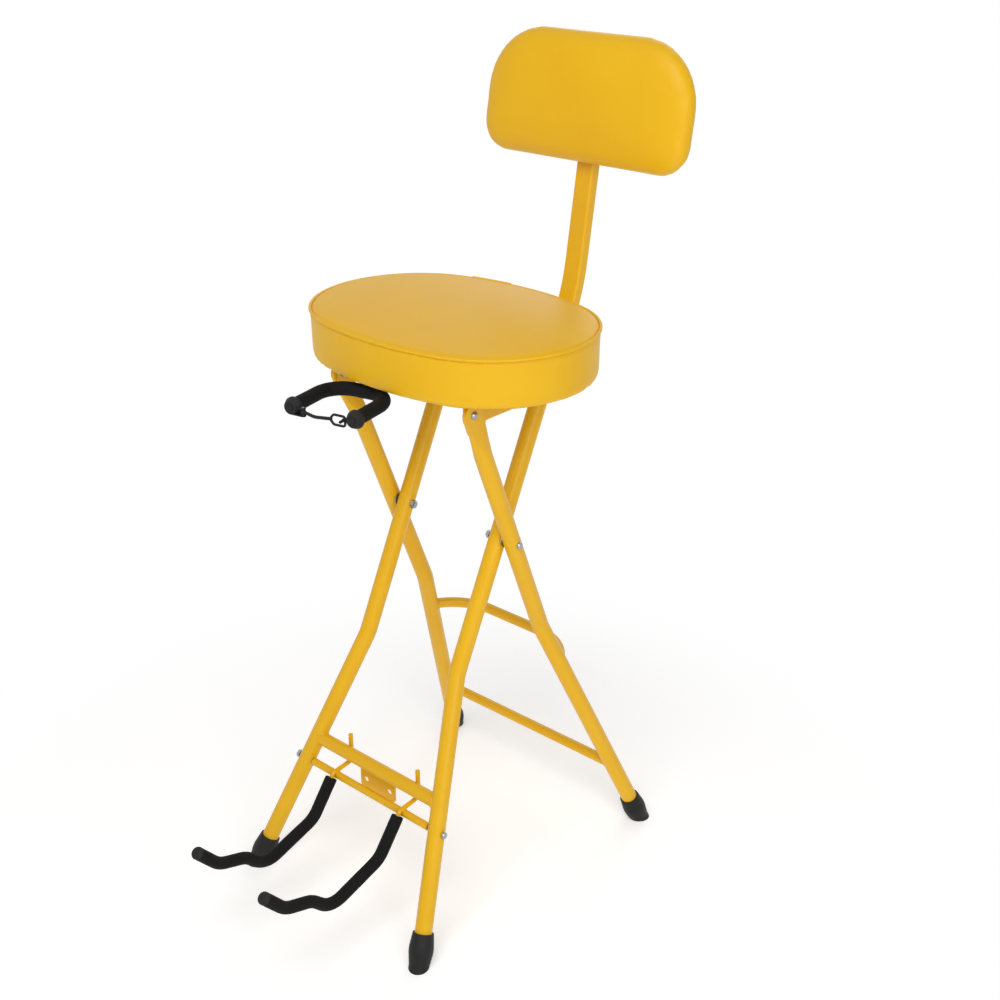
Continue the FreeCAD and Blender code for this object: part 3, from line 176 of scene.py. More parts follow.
# %% Floor
FLOOR_REACH = 12.0
floor_corners = [(x * FLOOR_REACH, y * FLOOR_REACH, 0) for x, y in ((-1, -1), (1, -1), (1, 1), (-1, 1))]
floor_mesh = bpy.data.meshes.new("studio_floor")
floor_mesh.from_pydata(floor_corners, [], [(0, 1, 2, 3)])
floor_mesh.materials.append(floor_paint)
floor = link(bpy.data.objects.new("studio_floor", floor_mesh))
print("floor reaches", FLOOR_REACH, "m each way")

# %% [markdown]
# Three large lamps shape the tubes: a key lamp above the front, a side lamp that brightens the right of
# each round form, and a weak one behind, which draws the edges. Large lamps give the soft shade of a studio
# box.

# %% Lamps
LAMP_AIM = Vector((0.0, 0.0, 0.55))


def soft_lamp(name, place, size, power):
    """A square lamp of a size in metres and a power in watts, turned to the middle of the stool."""
    lamp_data = bpy.data.lights.new(name, "AREA")
    lamp_data.size = size
    lamp_data.energy = power
    lamp = link(bpy.data.objects.new(name, lamp_data))
    lamp.location = place
    lamp.rotation_euler = (LAMP_AIM - Vector(place)).to_track_quat("-Z", "Y").to_euler()


soft_lamp("key_lamp", (0.7, -1.7, 2.95), 1.8, 42)
soft_lamp("side_lamp", (2.2, -1.2, 1.5), 1.6, 20)
soft_lamp("back_lamp", (-0.9, 2.2, 2.1), 1.6, 11)
print("lamps:", len(bpy.data.lights))

# %% [markdown]
# ## Finishes
# A real finish is never one flat colour. Image textures would need unwrapping and would blur close up, so
# each material mixes two close shades with a noise pattern, varies its roughness, and adds a fine bump of
# the right size: orange peel on the powder coat, a pebble grain on the vinyl, open cells on the foam. The
# patterns use object coordinates, in metres.

# %% A helper for finishes
CLOUD_DETAIL = 5.0
SHADE_FROM, SHADE_TO = 0.3, 0.7
COAT_ROUGHNESS = 0.15


def finish(name, shade_a, shade_b, rough, spread, patches=14.0, metal=0.0, coat=0.0, specular=0.5):
    """A principled material with a blotchy mix of two shades and uneven roughness."""
    material = bpy.data.materials.new(name)
    material.use_nodes = True
    tree = material.node_tree
    shader = tree.nodes["Principled BSDF"]
    place = tree.nodes.new("ShaderNodeTexCoord")
    cloud = tree.nodes.new("ShaderNodeTexNoise")
    cloud.inputs["Scale"].default_value = patches
    cloud.inputs["Detail"].default_value = CLOUD_DETAIL
    tree.links.new(place.outputs["Object"], cloud.inputs["Vector"])
    colour = tree.nodes.new("ShaderNodeValToRGB")
    ramp = colour.color_ramp.elements
    ramp[0].color = (*shade_a, 1.0)
    ramp[1].color = (*shade_b, 1.0)
    ramp[0].position = SHADE_FROM
    ramp[1].position = SHADE_TO
    tree.links.new(cloud.outputs["Fac"], colour.inputs["Fac"])
    tree.links.new(colour.outputs["Color"], shader.inputs["Base Color"])
    level = tree.nodes.new("ShaderNodeMapRange")
    level.inputs["To Min"].default_value = rough - spread
    level.inputs["To Max"].default_value = rough + spread
    tree.links.new(cloud.outputs["Fac"], level.inputs["Value"])
    tree.links.new(level.outputs["Result"], shader.inputs["Roughness"])
    shader.inputs["Metallic"].default_value = metal
    shader.inputs["Coat Weight"].default_value = coat
    shader.inputs["Coat Roughness"].default_value = COAT_ROUGHNESS
    shader.inputs["Specular IOR Level"].default_value = specular
    return material


# %% A helper for bumps
def node_of(material, kind):
    """The first node of a kind in a material."""
    return [node for node in material.node_tree.nodes if node.type == kind][0]


def add_bump(material, kind, scale, depth, strength, detail=2.0):
    """Raise a fine pattern on a material. Scale is in patterns per metre, depth in metres."""
    tree = material.node_tree
    shader = tree.nodes["Principled BSDF"]
    place = node_of(material, "TEX_COORD")
    pattern = tree.nodes.new(kind)
    pattern.inputs["Scale"].default_value = scale
    if "Detail" in pattern.inputs:
        pattern.inputs["Detail"].default_value = detail
    tree.links.new(place.outputs["Object"], pattern.inputs["Vector"])
    bump = tree.nodes.new("ShaderNodeBump")
    bump.inputs["Strength"].default_value = strength
    bump.inputs["Distance"].default_value = depth
    height = pattern.outputs["Distance"] if "Distance" in pattern.outputs else pattern.outputs["Fac"]
    tree.links.new(height, bump.inputs["Height"])
    last = shader.inputs["Normal"].links
    if last:
        tree.links.new(last[0].from_socket, bump.inputs["Normal"])
    tree.links.new(bump.outputs["Normal"], shader.inputs["Normal"])


# %% [markdown]
# The frame is powder coated in a warm yellow. Powder coat flows out smooth but keeps a fine orange peel,
# which one fine noise gives.

# %% Powder coat
powder_coat = finish("powder_coat", (0.76, 0.415, 0.004), (0.79, 0.444, 0.006), 0.32, 0.05,
                     coat=0.05, specular=0.28)
add_bump(powder_coat, "ShaderNodeTexNoise", 420.0, 0.0003, 0.12)
print("powder coat:", len(powder_coat.node_tree.nodes), "shader nodes")

# %% [markdown]
# The covers are vinyl: a soft pebble grain about a millimetre across, a satin surface, and slow changes of
# shade where the cover is stretched over the foam. Voronoi cells make better pebbles than noise, and a
# second, wide bump gives the slight waviness of a cover over foam.

# %% Vinyl
vinyl = finish("vinyl", (0.765, 0.425, 0.004), (0.80, 0.46, 0.007), 0.43, 0.05, patches=9.0, specular=0.26)
add_bump(vinyl, "ShaderNodeTexVoronoi", 900.0, 0.0004, 0.14)
add_bump(vinyl, "ShaderNodeTexNoise", 60.0, 0.0012, 0.08)
print("vinyl:", len(vinyl.node_tree.nodes), "shader nodes")

# %% [markdown]
# Three blacks are told apart by their surface, not by their colour: foam sleeves are dull and finely
# pitted, rubber is smoother with a slight shine, and the plastic plugs lie between the two.

# %% Foam, rubber and plastic
sleeve_foam = finish("sleeve_foam", (0.004, 0.004, 0.004), (0.008, 0.008, 0.008), 0.8, 0.08,
                     patches=60.0, specular=0.15)
add_bump(sleeve_foam, "ShaderNodeTexNoise", 1500.0, 0.0005, 0.5, detail=4.0)
foot_rubber = finish("foot_rubber", (0.006, 0.006, 0.006), (0.011, 0.011, 0.011), 0.56, 0.1,
                     patches=40.0, specular=0.25)
add_bump(foot_rubber, "ShaderNodeTexNoise", 700.0, 0.0003, 0.25, detail=3.0)
black_plastic = finish("black_plastic", (0.012, 0.012, 0.012), (0.02, 0.02, 0.02), 0.45, 0.08,
                       patches=30.0, specular=0.4)
add_bump(black_plastic, "ShaderNodeTexNoise", 900.0, 0.0002, 0.2)
print("blacks:", [black.name for black in (sleeve_foam, foot_rubber, black_plastic)])

# %% [markdown]
# Bolts, nuts and rods are zinc plated: a bright metal with cloudy patches. The boards are plywood, with
# long grain along one direction. A wave texture would give stripes that are too even, so the noise is
# stretched.

# %% Zinc and plywood
zinc = finish("zinc", (0.29, 0.31, 0.34), (0.42, 0.44, 0.46), 0.32, 0.1, patches=120.0, metal=1.0)
add_bump(zinc, "ShaderNodeTexNoise", 1200.0, 0.0002, 0.15)
plywood = finish("plywood", (0.42, 0.27, 0.14), (0.58, 0.4, 0.23), 0.62, 0.1, patches=26.0)
GRAIN_STRETCH = (0.3, 6.0, 4.0)
wood = plywood.node_tree
stretch = wood.nodes.new("ShaderNodeMapping")
stretch.inputs["Scale"].default_value = GRAIN_STRETCH
wood.links.new(node_of(plywood, "TEX_COORD").outputs["Object"], stretch.inputs["Vector"])
wood.links.new(stretch.outputs["Vector"], node_of(plywood, "TEX_NOISE").inputs["Vector"])
print("finishes:", len(bpy.data.materials))

# %% [markdown]
# Each CAD node names a material slot in its record, so one table of slots dresses the whole frame. Giving
# each node its material by hand would be longer, and would miss a node that is added later.

# %% Dress the CAD nodes
SLOT_FINISH = {"yellow_paint": powder_coat, "yellow_vinyl": vinyl, "black_foam": sleeve_foam,
               "black_rubber": foot_rubber, "black_plastic": black_plastic, "bright_steel": zinc,
               "plywood": plywood}
for entry in frame["record"]["subparts"]:
    node = frame["nodes"][entry["node"]]
    node.data.materials.clear()
    node.data.materials.append(SLOT_FINISH[entry["material_slot"]])


def settle(piece, body):
    """Let a piece move with a body."""
    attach(piece, body)


# %% [markdown]
# ## Mesh helpers
# Two shapes come up again and again: a skin through a stack of rings, and a round bar along a path. Curves
# with a bevel could make the bars, but rings of our own also take a radius that changes along the way.
# Small things that repeat, such as staples, are gathered into one mesh.

# %% Skins
def shade_smooth(mesh):
    mesh.polygons.foreach_set("use_smooth", [True] * len(mesh.polygons))


def piece_from(name, points, faces, material):
    mesh = bpy.data.meshes.new(name)
    mesh.from_pydata([tuple(p) for p in points], [], faces)
    mesh.validate()
    shade_smooth(mesh)
    mesh.materials.append(material)
    return link(bpy.data.objects.new(name, mesh))


def skin_faces(rings, around, closed_ends, closed_run=False):
    """Quads between rings of points, with the end rings filled or the run joined up if asked."""
    faces = []
    for r in range(rings if closed_run else rings - 1):
        after = (r + 1) % rings
        for i in range(around):
            j = (i + 1) % around
            faces.append((r * around + i, r * around + j, after * around + j, after * around + i))
    if closed_ends:
        faces.append(tuple(reversed(range(around))))
        faces.append(tuple((rings - 1) * around + i for i in range(around)))
    return faces


def gathered(name, parts, material):
    """One mesh from several lists of points and faces."""
    points, faces = [], []
    for part_points, part_faces in parts:
        start = len(points)
        points += list(part_points)
        faces += [tuple(start + i for i in face) for face in part_faces]
    return piece_from(name, points, faces, material)


# %% Bars along a path
def full_turn(count):
    """Angles spread evenly round a circle."""
    return np.linspace(0, 2 * math.pi, count, endpoint=False)


def bar_points(path, radius, around, closed=False, wide=1.0, up=None):
    """Rings of points round a path. The radius may follow the share along it, and may be wider along up."""
    path = [Vector(p) for p in path]
    count = len(path)
    rings = []
    side = None
    for i, point in enumerate(path):
        ahead = path[(i + 1) % count] if closed else path[min(i + 1, count - 1)]
        behind = path[i - 1] if closed else path[max(i - 1, 0)]
        forward = (ahead - behind).normalized()
        if up is not None:
            side = Vector(up)
        elif side is None:
            side = forward.orthogonal()
        side = (side - forward * side.dot(forward)).normalized()
        other = forward.cross(side)
        size = radius(i / max(count - 1, 1)) if callable(radius) else radius
        rings += [point + side * (wide * size * math.cos(a)) + other * (size * math.sin(a))
                  for a in full_turn(around)]
    return rings


def bar_part(path, radius, around, closed=False, wide=1.0, up=None):
    points = bar_points(path, radius, around, closed, wide, up)
    return points, skin_faces(len(path), around, not closed, closed)


def bar(name, path, radius, around, material, closed=False):
    points, faces = bar_part(path, radius, around, closed)
    return piece_from(name, points, faces, material)


# %% Bent paths
def bend_path(corners, radii, step):
    """Points along straight runs with rounded corners, in the plane of each corner."""
    corners = [Vector(c) for c in corners]
    path = [corners[0]]

    def run_to(end):
        start = path[-1].copy()
        pieces = max(1, round((end - start).length / step))
        path.extend(start.lerp(end, k / pieces) for k in range(1, pieces + 1))

    for i in range(1, len(corners) - 1):
        back = (corners[i - 1] - corners[i]).normalized()
        on = (corners[i + 1] - corners[i]).normalized()
        half = back.angle(on) / 2
        start = corners[i] + back * (radii[i] / math.tan(half))
        middle = corners[i] + (back + on).normalized() * (radii[i] / math.sin(half))
        turn = math.pi - 2 * half
        axis = on.cross(back).normalized()
        steps = max(3, round(turn * radii[i] / step))
        run_to(start)
        for k in range(1, steps + 1):
            path.append(middle + Matrix.Rotation(turn * k / steps, 3, axis) @ (start - middle))
    run_to(corners[-1])
    return path


# %% [markdown]
# ## Padding
# Padded covers are blown up like a real cushion. They could be sculpted or simply subdivided, but cloth
# finds by itself how vinyl bulges between its seams. The starting shape is remeshed into even quads, its
# seams and its underside are pinned, and a short cloth simulation with a little pressure fills the panels
# between them. No point may move further than a set cap, so the cushion keeps its size.

# %% Even quads
def frozen_mesh(obj):
    """The mesh of an object with its modifiers applied."""
    graph = bpy.context.evaluated_depsgraph_get()
    return bpy.data.meshes.new_from_object(obj.evaluated_get(graph), depsgraph=graph)


def even_quads(obj, voxel):
    """Remesh a closed blank into even quads and keep its material."""
    material = obj.data.materials[0]
    remesh = obj.modifiers.new("even_quads", "REMESH")
    remesh.mode = "VOXEL"
    remesh.voxel_size = voxel
    mesh = frozen_mesh(obj)
    obj.modifiers.clear()
    obj.data = mesh
    mesh.materials.clear()
    mesh.materials.append(material)
    shade_smooth(mesh)
    return mesh


def relaxed(obj, rounds):
    """Smooth the mesh of an object a number of times."""
    relax = obj.modifiers.new("relax", "SMOOTH")
    relax.factor = 0.5
    relax.iterations = rounds
    obj.data = frozen_mesh(obj)
    obj.modifiers.clear()
    shade_smooth(obj.data)


# %% Cloth with pressure
CLOTH_QUALITY, CLOTH_MASS, CLOTH_STRETCH, CLOTH_BEND = 6, 0.3, 20, 2.0
CLOTH_MOMENTS = 20
PRESSURE = 4.0


def puff(obj, is_pinned):
    """Run a short cloth simulation with pressure and return where every point starts and ends."""
    start = np.array([v.co for v in obj.data.vertices])
    pins = obj.vertex_groups.new(name="seams")
    pins.add([int(i) for i in np.nonzero(is_pinned(start))[0]], 1.0, "REPLACE")
    cloth = obj.modifiers.new("cover", "CLOTH")
    cloth.settings.quality = CLOTH_QUALITY
    cloth.settings.mass = CLOTH_MASS
    cloth.settings.tension_stiffness = CLOTH_STRETCH
    cloth.settings.compression_stiffness = CLOTH_STRETCH
    cloth.settings.bending_stiffness = CLOTH_BEND
    cloth.settings.use_pressure = True
    cloth.settings.uniform_pressure_force = PRESSURE
    cloth.settings.effector_weights.gravity = 0.0
    cloth.settings.vertex_group_mass = "seams"
    cloth.collision_settings.use_collision = False
    for moment in range(1, CLOTH_MOMENTS + 1):
        scene.frame_set(moment)
    graph = bpy.context.evaluated_depsgraph_get()
    end = np.array([v.co for v in obj.evaluated_get(graph).data.vertices])
    obj.modifiers.clear()
    scene.frame_set(1)
    return start, end


# %% [markdown]
# Cloth leaves small dents. Averaging each point's move with those of its neighbours takes them out and
# leaves the bulge.

# %% Inflate a cover
VOXEL = 5.0 * MM
MOST_MOVE = 3.0 * MM
RELAX_ROUNDS = 4


def evened(mesh, move, rounds):
    """Average a move with the moves of its neighbours a number of times, so that it has no small dents."""
    ends = np.array([edge.vertices[:] for edge in mesh.edges])
    degree = np.bincount(ends.ravel(), minlength=len(move))[:, None]
    for _ in range(rounds):
        total = np.zeros_like(move)
        np.add.at(total, ends[:, 0], move[ends[:, 1]])
        np.add.at(total, ends[:, 1], move[ends[:, 0]])
        move = 0.5 * move + 0.5 * total / degree
    return move


def inflate(blank, is_pinned, rounds):
    """Remesh a closed blank, puff it with cloth up to a cap, and smooth it."""
    mesh = even_quads(blank, VOXEL)
    start, end = puff(blank, is_pinned)
    move = end - start
    far = np.linalg.norm(move, axis=1, keepdims=True)
    move *= np.minimum(1.0, MOST_MOVE / np.maximum(far, 1e-9))
    mesh.vertices.foreach_set("co", (start + evened(mesh, move, rounds)).ravel())
    print(blank.name, "largest move, mm:", round(float(far.max()) / MM, 1), "cap", MOST_MOVE / MM)
    relaxed(blank, RELAX_ROUNDS)
    soft = blank.modifiers.new("soft_cover", "SUBSURF")
    soft.levels = soft.render_levels = 1


# %% [markdown]
# ## Seat cushion
# The seat is a box cushion on an oval board: a band round the side, a crowned top, and a piped seam where
# they meet. An ellipse would be too pointed at its ends, so the outline is four arcs that run smoothly into
# each other, the same as the board's.

# %% Oval outline
pad_low, pad_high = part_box("seat_cushion")
SEAT_HALF_WIDTH = (pad_high.x - pad_low.x) / 2
SEAT_HALF_DEPTH = (pad_high.y - pad_low.y) / 2
SEAT_Y = (pad_high.y + pad_low.y) / 2
END_RADIUS = 127 * MM
SEAM_Z = pad_low.z + 59.2 * MM
SEAT_AROUND = 180


def oval(inset, count):
    """Points round the seat, a distance inside its outline, evenly spread along the arcs."""
    across = SEAT_HALF_WIDTH - END_RADIUS
    side = (across ** 2 + SEAT_HALF_DEPTH ** 2 - END_RADIUS ** 2) / (2 * (SEAT_HALF_DEPTH - END_RADIUS))
    drop = side - SEAT_HALF_DEPTH
    turn = math.atan2(drop, across)
    arcs = [(0, -drop, side, math.pi / 2, math.pi - turn),
            (-across, 0, END_RADIUS, math.pi - turn, math.pi + turn),
            (0, drop, side, math.pi + turn, 2 * math.pi - turn),
            (across, 0, END_RADIUS, -turn, turn),
            (0, -drop, side, turn, math.pi / 2)]
    lengths = [radius * (end - start) for _, _, radius, start, end in arcs]
    points = []
    for along in np.linspace(0, sum(lengths), count, endpoint=False):
        k = 0
        while along > lengths[k]:
            along -= lengths[k]
            k += 1
        x, y, radius, start, _ = arcs[k]
        angle = start + along / radius
        reach = radius - inset
        points.append((x + reach * math.cos(angle), SEAT_Y + y + reach * math.sin(angle)))
    return points


print("seat", round(2 * SEAT_HALF_WIDTH, 3), "by", round(2 * SEAT_HALF_DEPTH, 3), "m")
print("seam at", round(SEAM_Z, 3), "m")

# %% [markdown]
# The blank of the cover is a stack of such ovals. Each ring has an inset and a height in millimetres: the
# underside, which rises into the board and is hidden there, the rounded lower edge, the band, drawn in a
# little below the seam, and the crown.

# %% Seat cover
SEAT_RINGS = [(60.0, 7.0), (20.0, 7.0), (13.0, 5.5), (8.0, 0.8), (4.0, 0.0), (1.6, 1.2), (0.2, 5.0),
              (0.0, 20.0), (0.0, 36.0), (-0.4, 50.0), (-1.3, 56.5), (-1.1, 60.6),
              (3.0, 61.8), (12.0, 63.0), (30.0, 64.6), (55.0, 66.0), (85.0, 66.8), (110.0, 67.0)]
SEAM_BAND, STAPLED_BAND = 3.0 * MM, 8.0 * MM
SEAT_EVENING = 4
seat_points = []
for inset, rise in SEAT_RINGS:
    seat_points += [(x, y, pad_low.z + rise * MM) for x, y in oval(inset * MM, SEAT_AROUND)]
seat_faces = skin_faces(len(SEAT_RINGS), SEAT_AROUND, True)
seat_cover = piece_from("seat_cover", seat_points, seat_faces, vinyl)


def seat_pins(co):
    """The seam and the underside stay where they are sewn and stapled."""
    near_seam = np.abs(co[:, 2] - SEAM_Z) < SEAM_BAND
    stapled = co[:, 2] < pad_low.z + STAPLED_BAND
    return near_seam | stapled


inflate(seat_cover, seat_pins, SEAT_EVENING)
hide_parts("seat_cushion")
settle(seat_cover, "seat")

# %% [markdown]
# The piping is a thin cord in a folded strip of the same vinyl, sewn into the seam. A bump line would
# vanish at the outline, so it is a real bar round the seat. Its ends overlap behind the seat, where a short
# flat tab covers them.

# %% Seat piping
PIPING_RADIUS, PIPING_PROUD = 1.9 * MM, 0.6 * MM
PIPING_RING = [(x, y, SEAM_Z) for x, y in oval(-PIPING_PROUD, 240)]
JOIN_FROM, JOIN_TO = 6, 20
JOIN_RADIUS, JOIN_RISE, JOIN_FLAT = 2.6 * MM, Vector((0, 0, 0.6 * MM)), 0.9
seat_piping = bar("seat_piping", PIPING_RING, PIPING_RADIUS, 12, vinyl, closed=True)
settle(seat_piping, "seat")
join_path = [Vector(p) + JOIN_RISE for p in PIPING_RING[JOIN_FROM:JOIN_TO]]
join_tab = bar_part(join_path, JOIN_RADIUS, 12, wide=JOIN_FLAT, up=(0, 0, 1))
piping_join = gathered("piping_join", [join_tab], vinyl)
settle(piping_join, "seat")
print("piping of", len(PIPING_RING), "rings, with its join")

# %% [markdown]
# ## Backrest pad
# The backrest is one pad pulled over a board. It leans back with its post. Drawing it leaning would tangle
# the numbers, so it is drawn flat and then placed by one matrix, whose Y runs up the post and whose Z
# points forward, out of the pad.

# %% Backrest outline
BACK_LEAN = math.radians(9.4)
BACK_FROM_HINGE = Vector((0.0, 345.60, 293.77)) * MM
back_place = Matrix.Translation(HINGE + BACK_FROM_HINGE) @ Matrix.Rotation(math.pi / 2 - BACK_LEAN, 4, "X")
PAD_HALF_WIDTH, PAD_HALF_HEIGHT = 161 * MM, 81 * MM
TOP_CORNER, BOTTOM_CORNER = 84 * MM, 40 * MM
PAD_CORNERS = [(1, -1, BOTTOM_CORNER, 270), (1, 1, TOP_CORNER, 0), (-1, 1, TOP_CORNER, 90),
               (-1, -1, BOTTOM_CORNER, 180)]
PER_CORNER = 16


def pad_outline(inset):
    """Rounded outline of the backrest, a distance inside its widest place, from the bottom middle round."""
    points = []
    for side_x, side_y, radius, start in PAD_CORNERS:
        x, y = side_x * (PAD_HALF_WIDTH - radius), side_y * (PAD_HALF_HEIGHT - radius)
        for angle in np.radians(np.linspace(start, start + 90, PER_CORNER)):
            points.append((x + (radius - inset) * math.cos(angle), y + (radius - inset) * math.sin(angle)))
    return points


print("backrest", round(2 * PAD_HALF_WIDTH, 3), "by", round(2 * PAD_HALF_HEIGHT, 3), "m")

# %% [markdown]
# The pad is fullest near its back edge and rounds over to a gently domed front, so the rings are close
# together at the edge, and the last ones are the same outline drawn smaller.

# %% Backrest cover
PAD_RINGS = [(32, 0.6), (12, 0.6), (7, 1.0), (3.4, 3.0), (1.9, 6.5), (1.4, 10.5), (2.4, 15.5), (5.5, 20.5),
             (11, 24.6), (20, 27.6), (32, 29.4)]
DOME_INSET = 32 * MM
PAD_DOME = [(0.75, 30.4), (0.5, 31.0), (0.2, 31.3)]
BACK_BAND = 5.0 * MM
BACK_EVENING = 60
pad_points = []
for inset, rise in PAD_RINGS:
    pad_points += [back_place @ Vector((x, y, rise * MM)) for x, y in pad_outline(inset * MM)]
for shrink, rise in PAD_DOME:
    pad_points += [back_place @ Vector((x * shrink, y * shrink, rise * MM))
                   for x, y in pad_outline(DOME_INSET)]
pad_faces = skin_faces(len(PAD_RINGS) + len(PAD_DOME), len(PAD_CORNERS) * PER_CORNER, True)
back_cover = piece_from("back_cover", pad_points, pad_faces, vinyl)
into_pad = np.array(back_place.inverted())


def back_pins(co):
    """The cover is stapled round the back of the board."""
    depth = co @ into_pad[2, :3] + into_pad[2, 3]
    return depth < BACK_BAND


inflate(back_cover, back_pins, BACK_EVENING)
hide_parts("backrest_pad")
settle(back_cover, "seat")

# %% [markdown]
# ## Hems and staples
# Turn the stool over and the covers end in a hem, folded over the edge of each board and stapled. A plain
# ring would look like a moulding, so the hem has small pleats where it goes round a curve, and an inner
# edge that isn't quite even. It stops at the post, which lies against the board.

# %% Hem strips
HEM_THICK = 0.8 * MM
PLEAT_HEIGHT, PLEAT_STEP, PLEAT_SHARP = 0.9 * MM, 0.9, 4
RAGGED_SHARE, RAGGED_STEP, RAGGED_PLACE = 0.12, 0.35, (2.0, 7.0)


def hem_part(edges, place):
    """A thin strip between pairs of outer and inner points, pleated at its inner edge. It lies below Z 0."""
    rings = []
    deep = Vector((0, 0, -HEM_THICK))
    for i, (edge, fold) in enumerate(edges):
        edge, fold = Vector((*edge, 0.0)), Vector((*fold, 0.0))
        pleat = Vector((0, 0, -PLEAT_HEIGHT * max(0.0, math.sin(i * PLEAT_STEP)) ** PLEAT_SHARP))
        fold = fold.lerp(edge, RAGGED_SHARE * noise.noise(Vector((i * RAGGED_STEP, *RAGGED_PLACE))))
        section = [edge, fold, fold + deep + pleat, edge.lerp(fold, 0.5) + deep + 0.6 * pleat, edge + deep]
        rings += [place @ point for point in section]
    return rings, skin_faces(len(edges), len(section), True)


# %% Staples
STAPLE_HALF, STAPLE_LEG, STAPLE_RADIUS, STAPLE_PROUD = 4.6 * MM, 1.2 * MM, 0.5 * MM, 0.3 * MM
STAPLE_CROWN = 0.98
POST_CLEAR = 17 * MM
STAPLE_CLEAR = 1.4 * POST_CLEAR


def staple_part(point, after, place):
    """A staple's crown, which points to the next staple, and its two bent ends, lying on the hem."""
    start = Vector((*point, -HEM_THICK - STAPLE_PROUD))
    run = Vector((after[0] - point[0], after[1] - point[1], 0.0)).normalized() * STAPLE_HALF
    leg = Vector((0, 0, STAPLE_LEG))
    path = [start - run + leg, start - run * STAPLE_CROWN, start + run * STAPLE_CROWN, start + run + leg]
    return bar_part([place @ p for p in path], STAPLE_RADIUS, 8)


def staple_row(name, ring, is_clear, place):
    """Staples along a closed line, apart from where the post is in the way."""
    pairs = zip(ring, ring[1:] + ring[:1])
    parts = [staple_part(p, after, place) for p, after in pairs if is_clear(p, STAPLE_CLEAR)]
    print(name, len(parts))
    return gathered(name, parts, zinc)


# %% Hem under the seat
HEM_OUTER, HEM_INNER, STAPLE_INSET = 9 * MM, 21 * MM, 15 * MM
SEAT_HEM_POINTS, SEAT_STAPLES = 300, 52
seat_turned = Matrix.Translation((0, 0, pad_low.z))


def clear_under_seat(point, gap):
    """The post runs under the rear half of the seat, along its middle."""
    return abs(point[0]) > gap or point[1] < SEAT_Y


seat_edges = [(p, q) for p, q in zip(oval(HEM_OUTER, SEAT_HEM_POINTS), oval(HEM_INNER, SEAT_HEM_POINTS))
              if clear_under_seat(p, POST_CLEAR)]
seat_hem = gathered("seat_hem", [hem_part(seat_edges, seat_turned)], vinyl)
settle(seat_hem, "seat")
seat_staples = staple_row("seat_staples", oval(STAPLE_INSET, SEAT_STAPLES), clear_under_seat, seat_turned)
settle(seat_staples, "seat")


# %% Hem behind the backrest
BACK_HEM_INSET = 7.5 * MM
BACK_HEM_POINTS, BACK_STAPLES = 240, 36
INNER_SCALE, STAPLE_SCALE = (0.895, 0.80), (0.945, 0.89)


def spread_along(outline, count):
    """The same closed outline with evenly spaced points."""
    ring = np.array(outline + outline[:1])
    lengths = np.concatenate([[0], np.cumsum(np.linalg.norm(np.diff(ring, axis=0), axis=1))])
    spots = np.linspace(0, lengths[-1], count, endpoint=False)
    across, up = (np.interp(spots, lengths, ring[:, axis]) for axis in (0, 1))
    return [(float(x), float(y)) for x, y in zip(across, up)]


def scaled(outline, scale):
    return [(x * scale[0], y * scale[1]) for x, y in outline]


def clear_behind_back(point, gap):
    """The post crosses the lower half of the backrest, along its middle."""
    return abs(point[0]) > gap or point[1] > 0


outer_edge = spread_along(pad_outline(BACK_HEM_INSET), BACK_HEM_POINTS)
back_edges = [(p, q) for p, q in zip(outer_edge, scaled(outer_edge, INNER_SCALE))
              if clear_behind_back(p, POST_CLEAR)]
widest_gap = max(range(len(back_edges)), key=lambda i: abs(back_edges[i][0][0] - back_edges[i - 1][0][0]))
back_edges = back_edges[widest_gap:] + back_edges[:widest_gap]
back_hem = gathered("back_hem", [hem_part(back_edges, back_place)], vinyl)
settle(back_hem, "seat")
back_line = spread_along(scaled(pad_outline(BACK_HEM_INSET), STAPLE_SCALE), BACK_STAPLES)
back_staples = staple_row("back_staples", back_line, clear_behind_back, back_place)
settle(back_staples, "seat")

# %% [markdown]
# ## Foam sleeves
# Foam tube is pushed over the bent wires. A bevelled curve would be too perfect: a foam surface is never
# quite even, so the radius wanders slightly along each sleeve, and the cut ends are a little rounded.

# %% Sleeves
SLEEVE_LENGTH = 250 * MM
SLEEVE_WANDER, WANDER_STEPS, WANDER_PLACE = 0.22 * MM, 14.0, 0.5
END_ROUNDING, END_REACH, END_RING = 0.9 * MM, 1.5 * MM, 0.25
SLEEVE_STEP = 3 * MM


def sleeve_radius(base, seed):
    """A radius that wanders a little along a sleeve and rounds off at its two cut ends."""
    def radius(share):
        end = min(share, 1 - share) * SLEEVE_LENGTH
        rounding = END_ROUNDING * max(0.0, 1 - end / END_REACH) ** 2
        wander = SLEEVE_WANDER * noise.noise(Vector((share * WANDER_STEPS, seed, WANDER_PLACE)))
        return base + wander - rounding
    return radius


def sleeve(name, path, base, seed):
    """A foam tube along a path, with two extra rings near each end for its rounded edge."""
    head = [path[0], path[0].lerp(path[1], END_RING)]
    tail = [path[-1].lerp(path[-2], END_RING), path[-1]]
    return bar(name, head + path[1:-1] + tail, sleeve_radius(base, seed), 32, sleeve_foam)


# %% [markdown]
# Each cradle arm drops from its axle, runs forward, and rises in two waves that keep a guitar from sliding
# off. Its corners and bends are the CAD wire's, measured from the axle in millimetres.

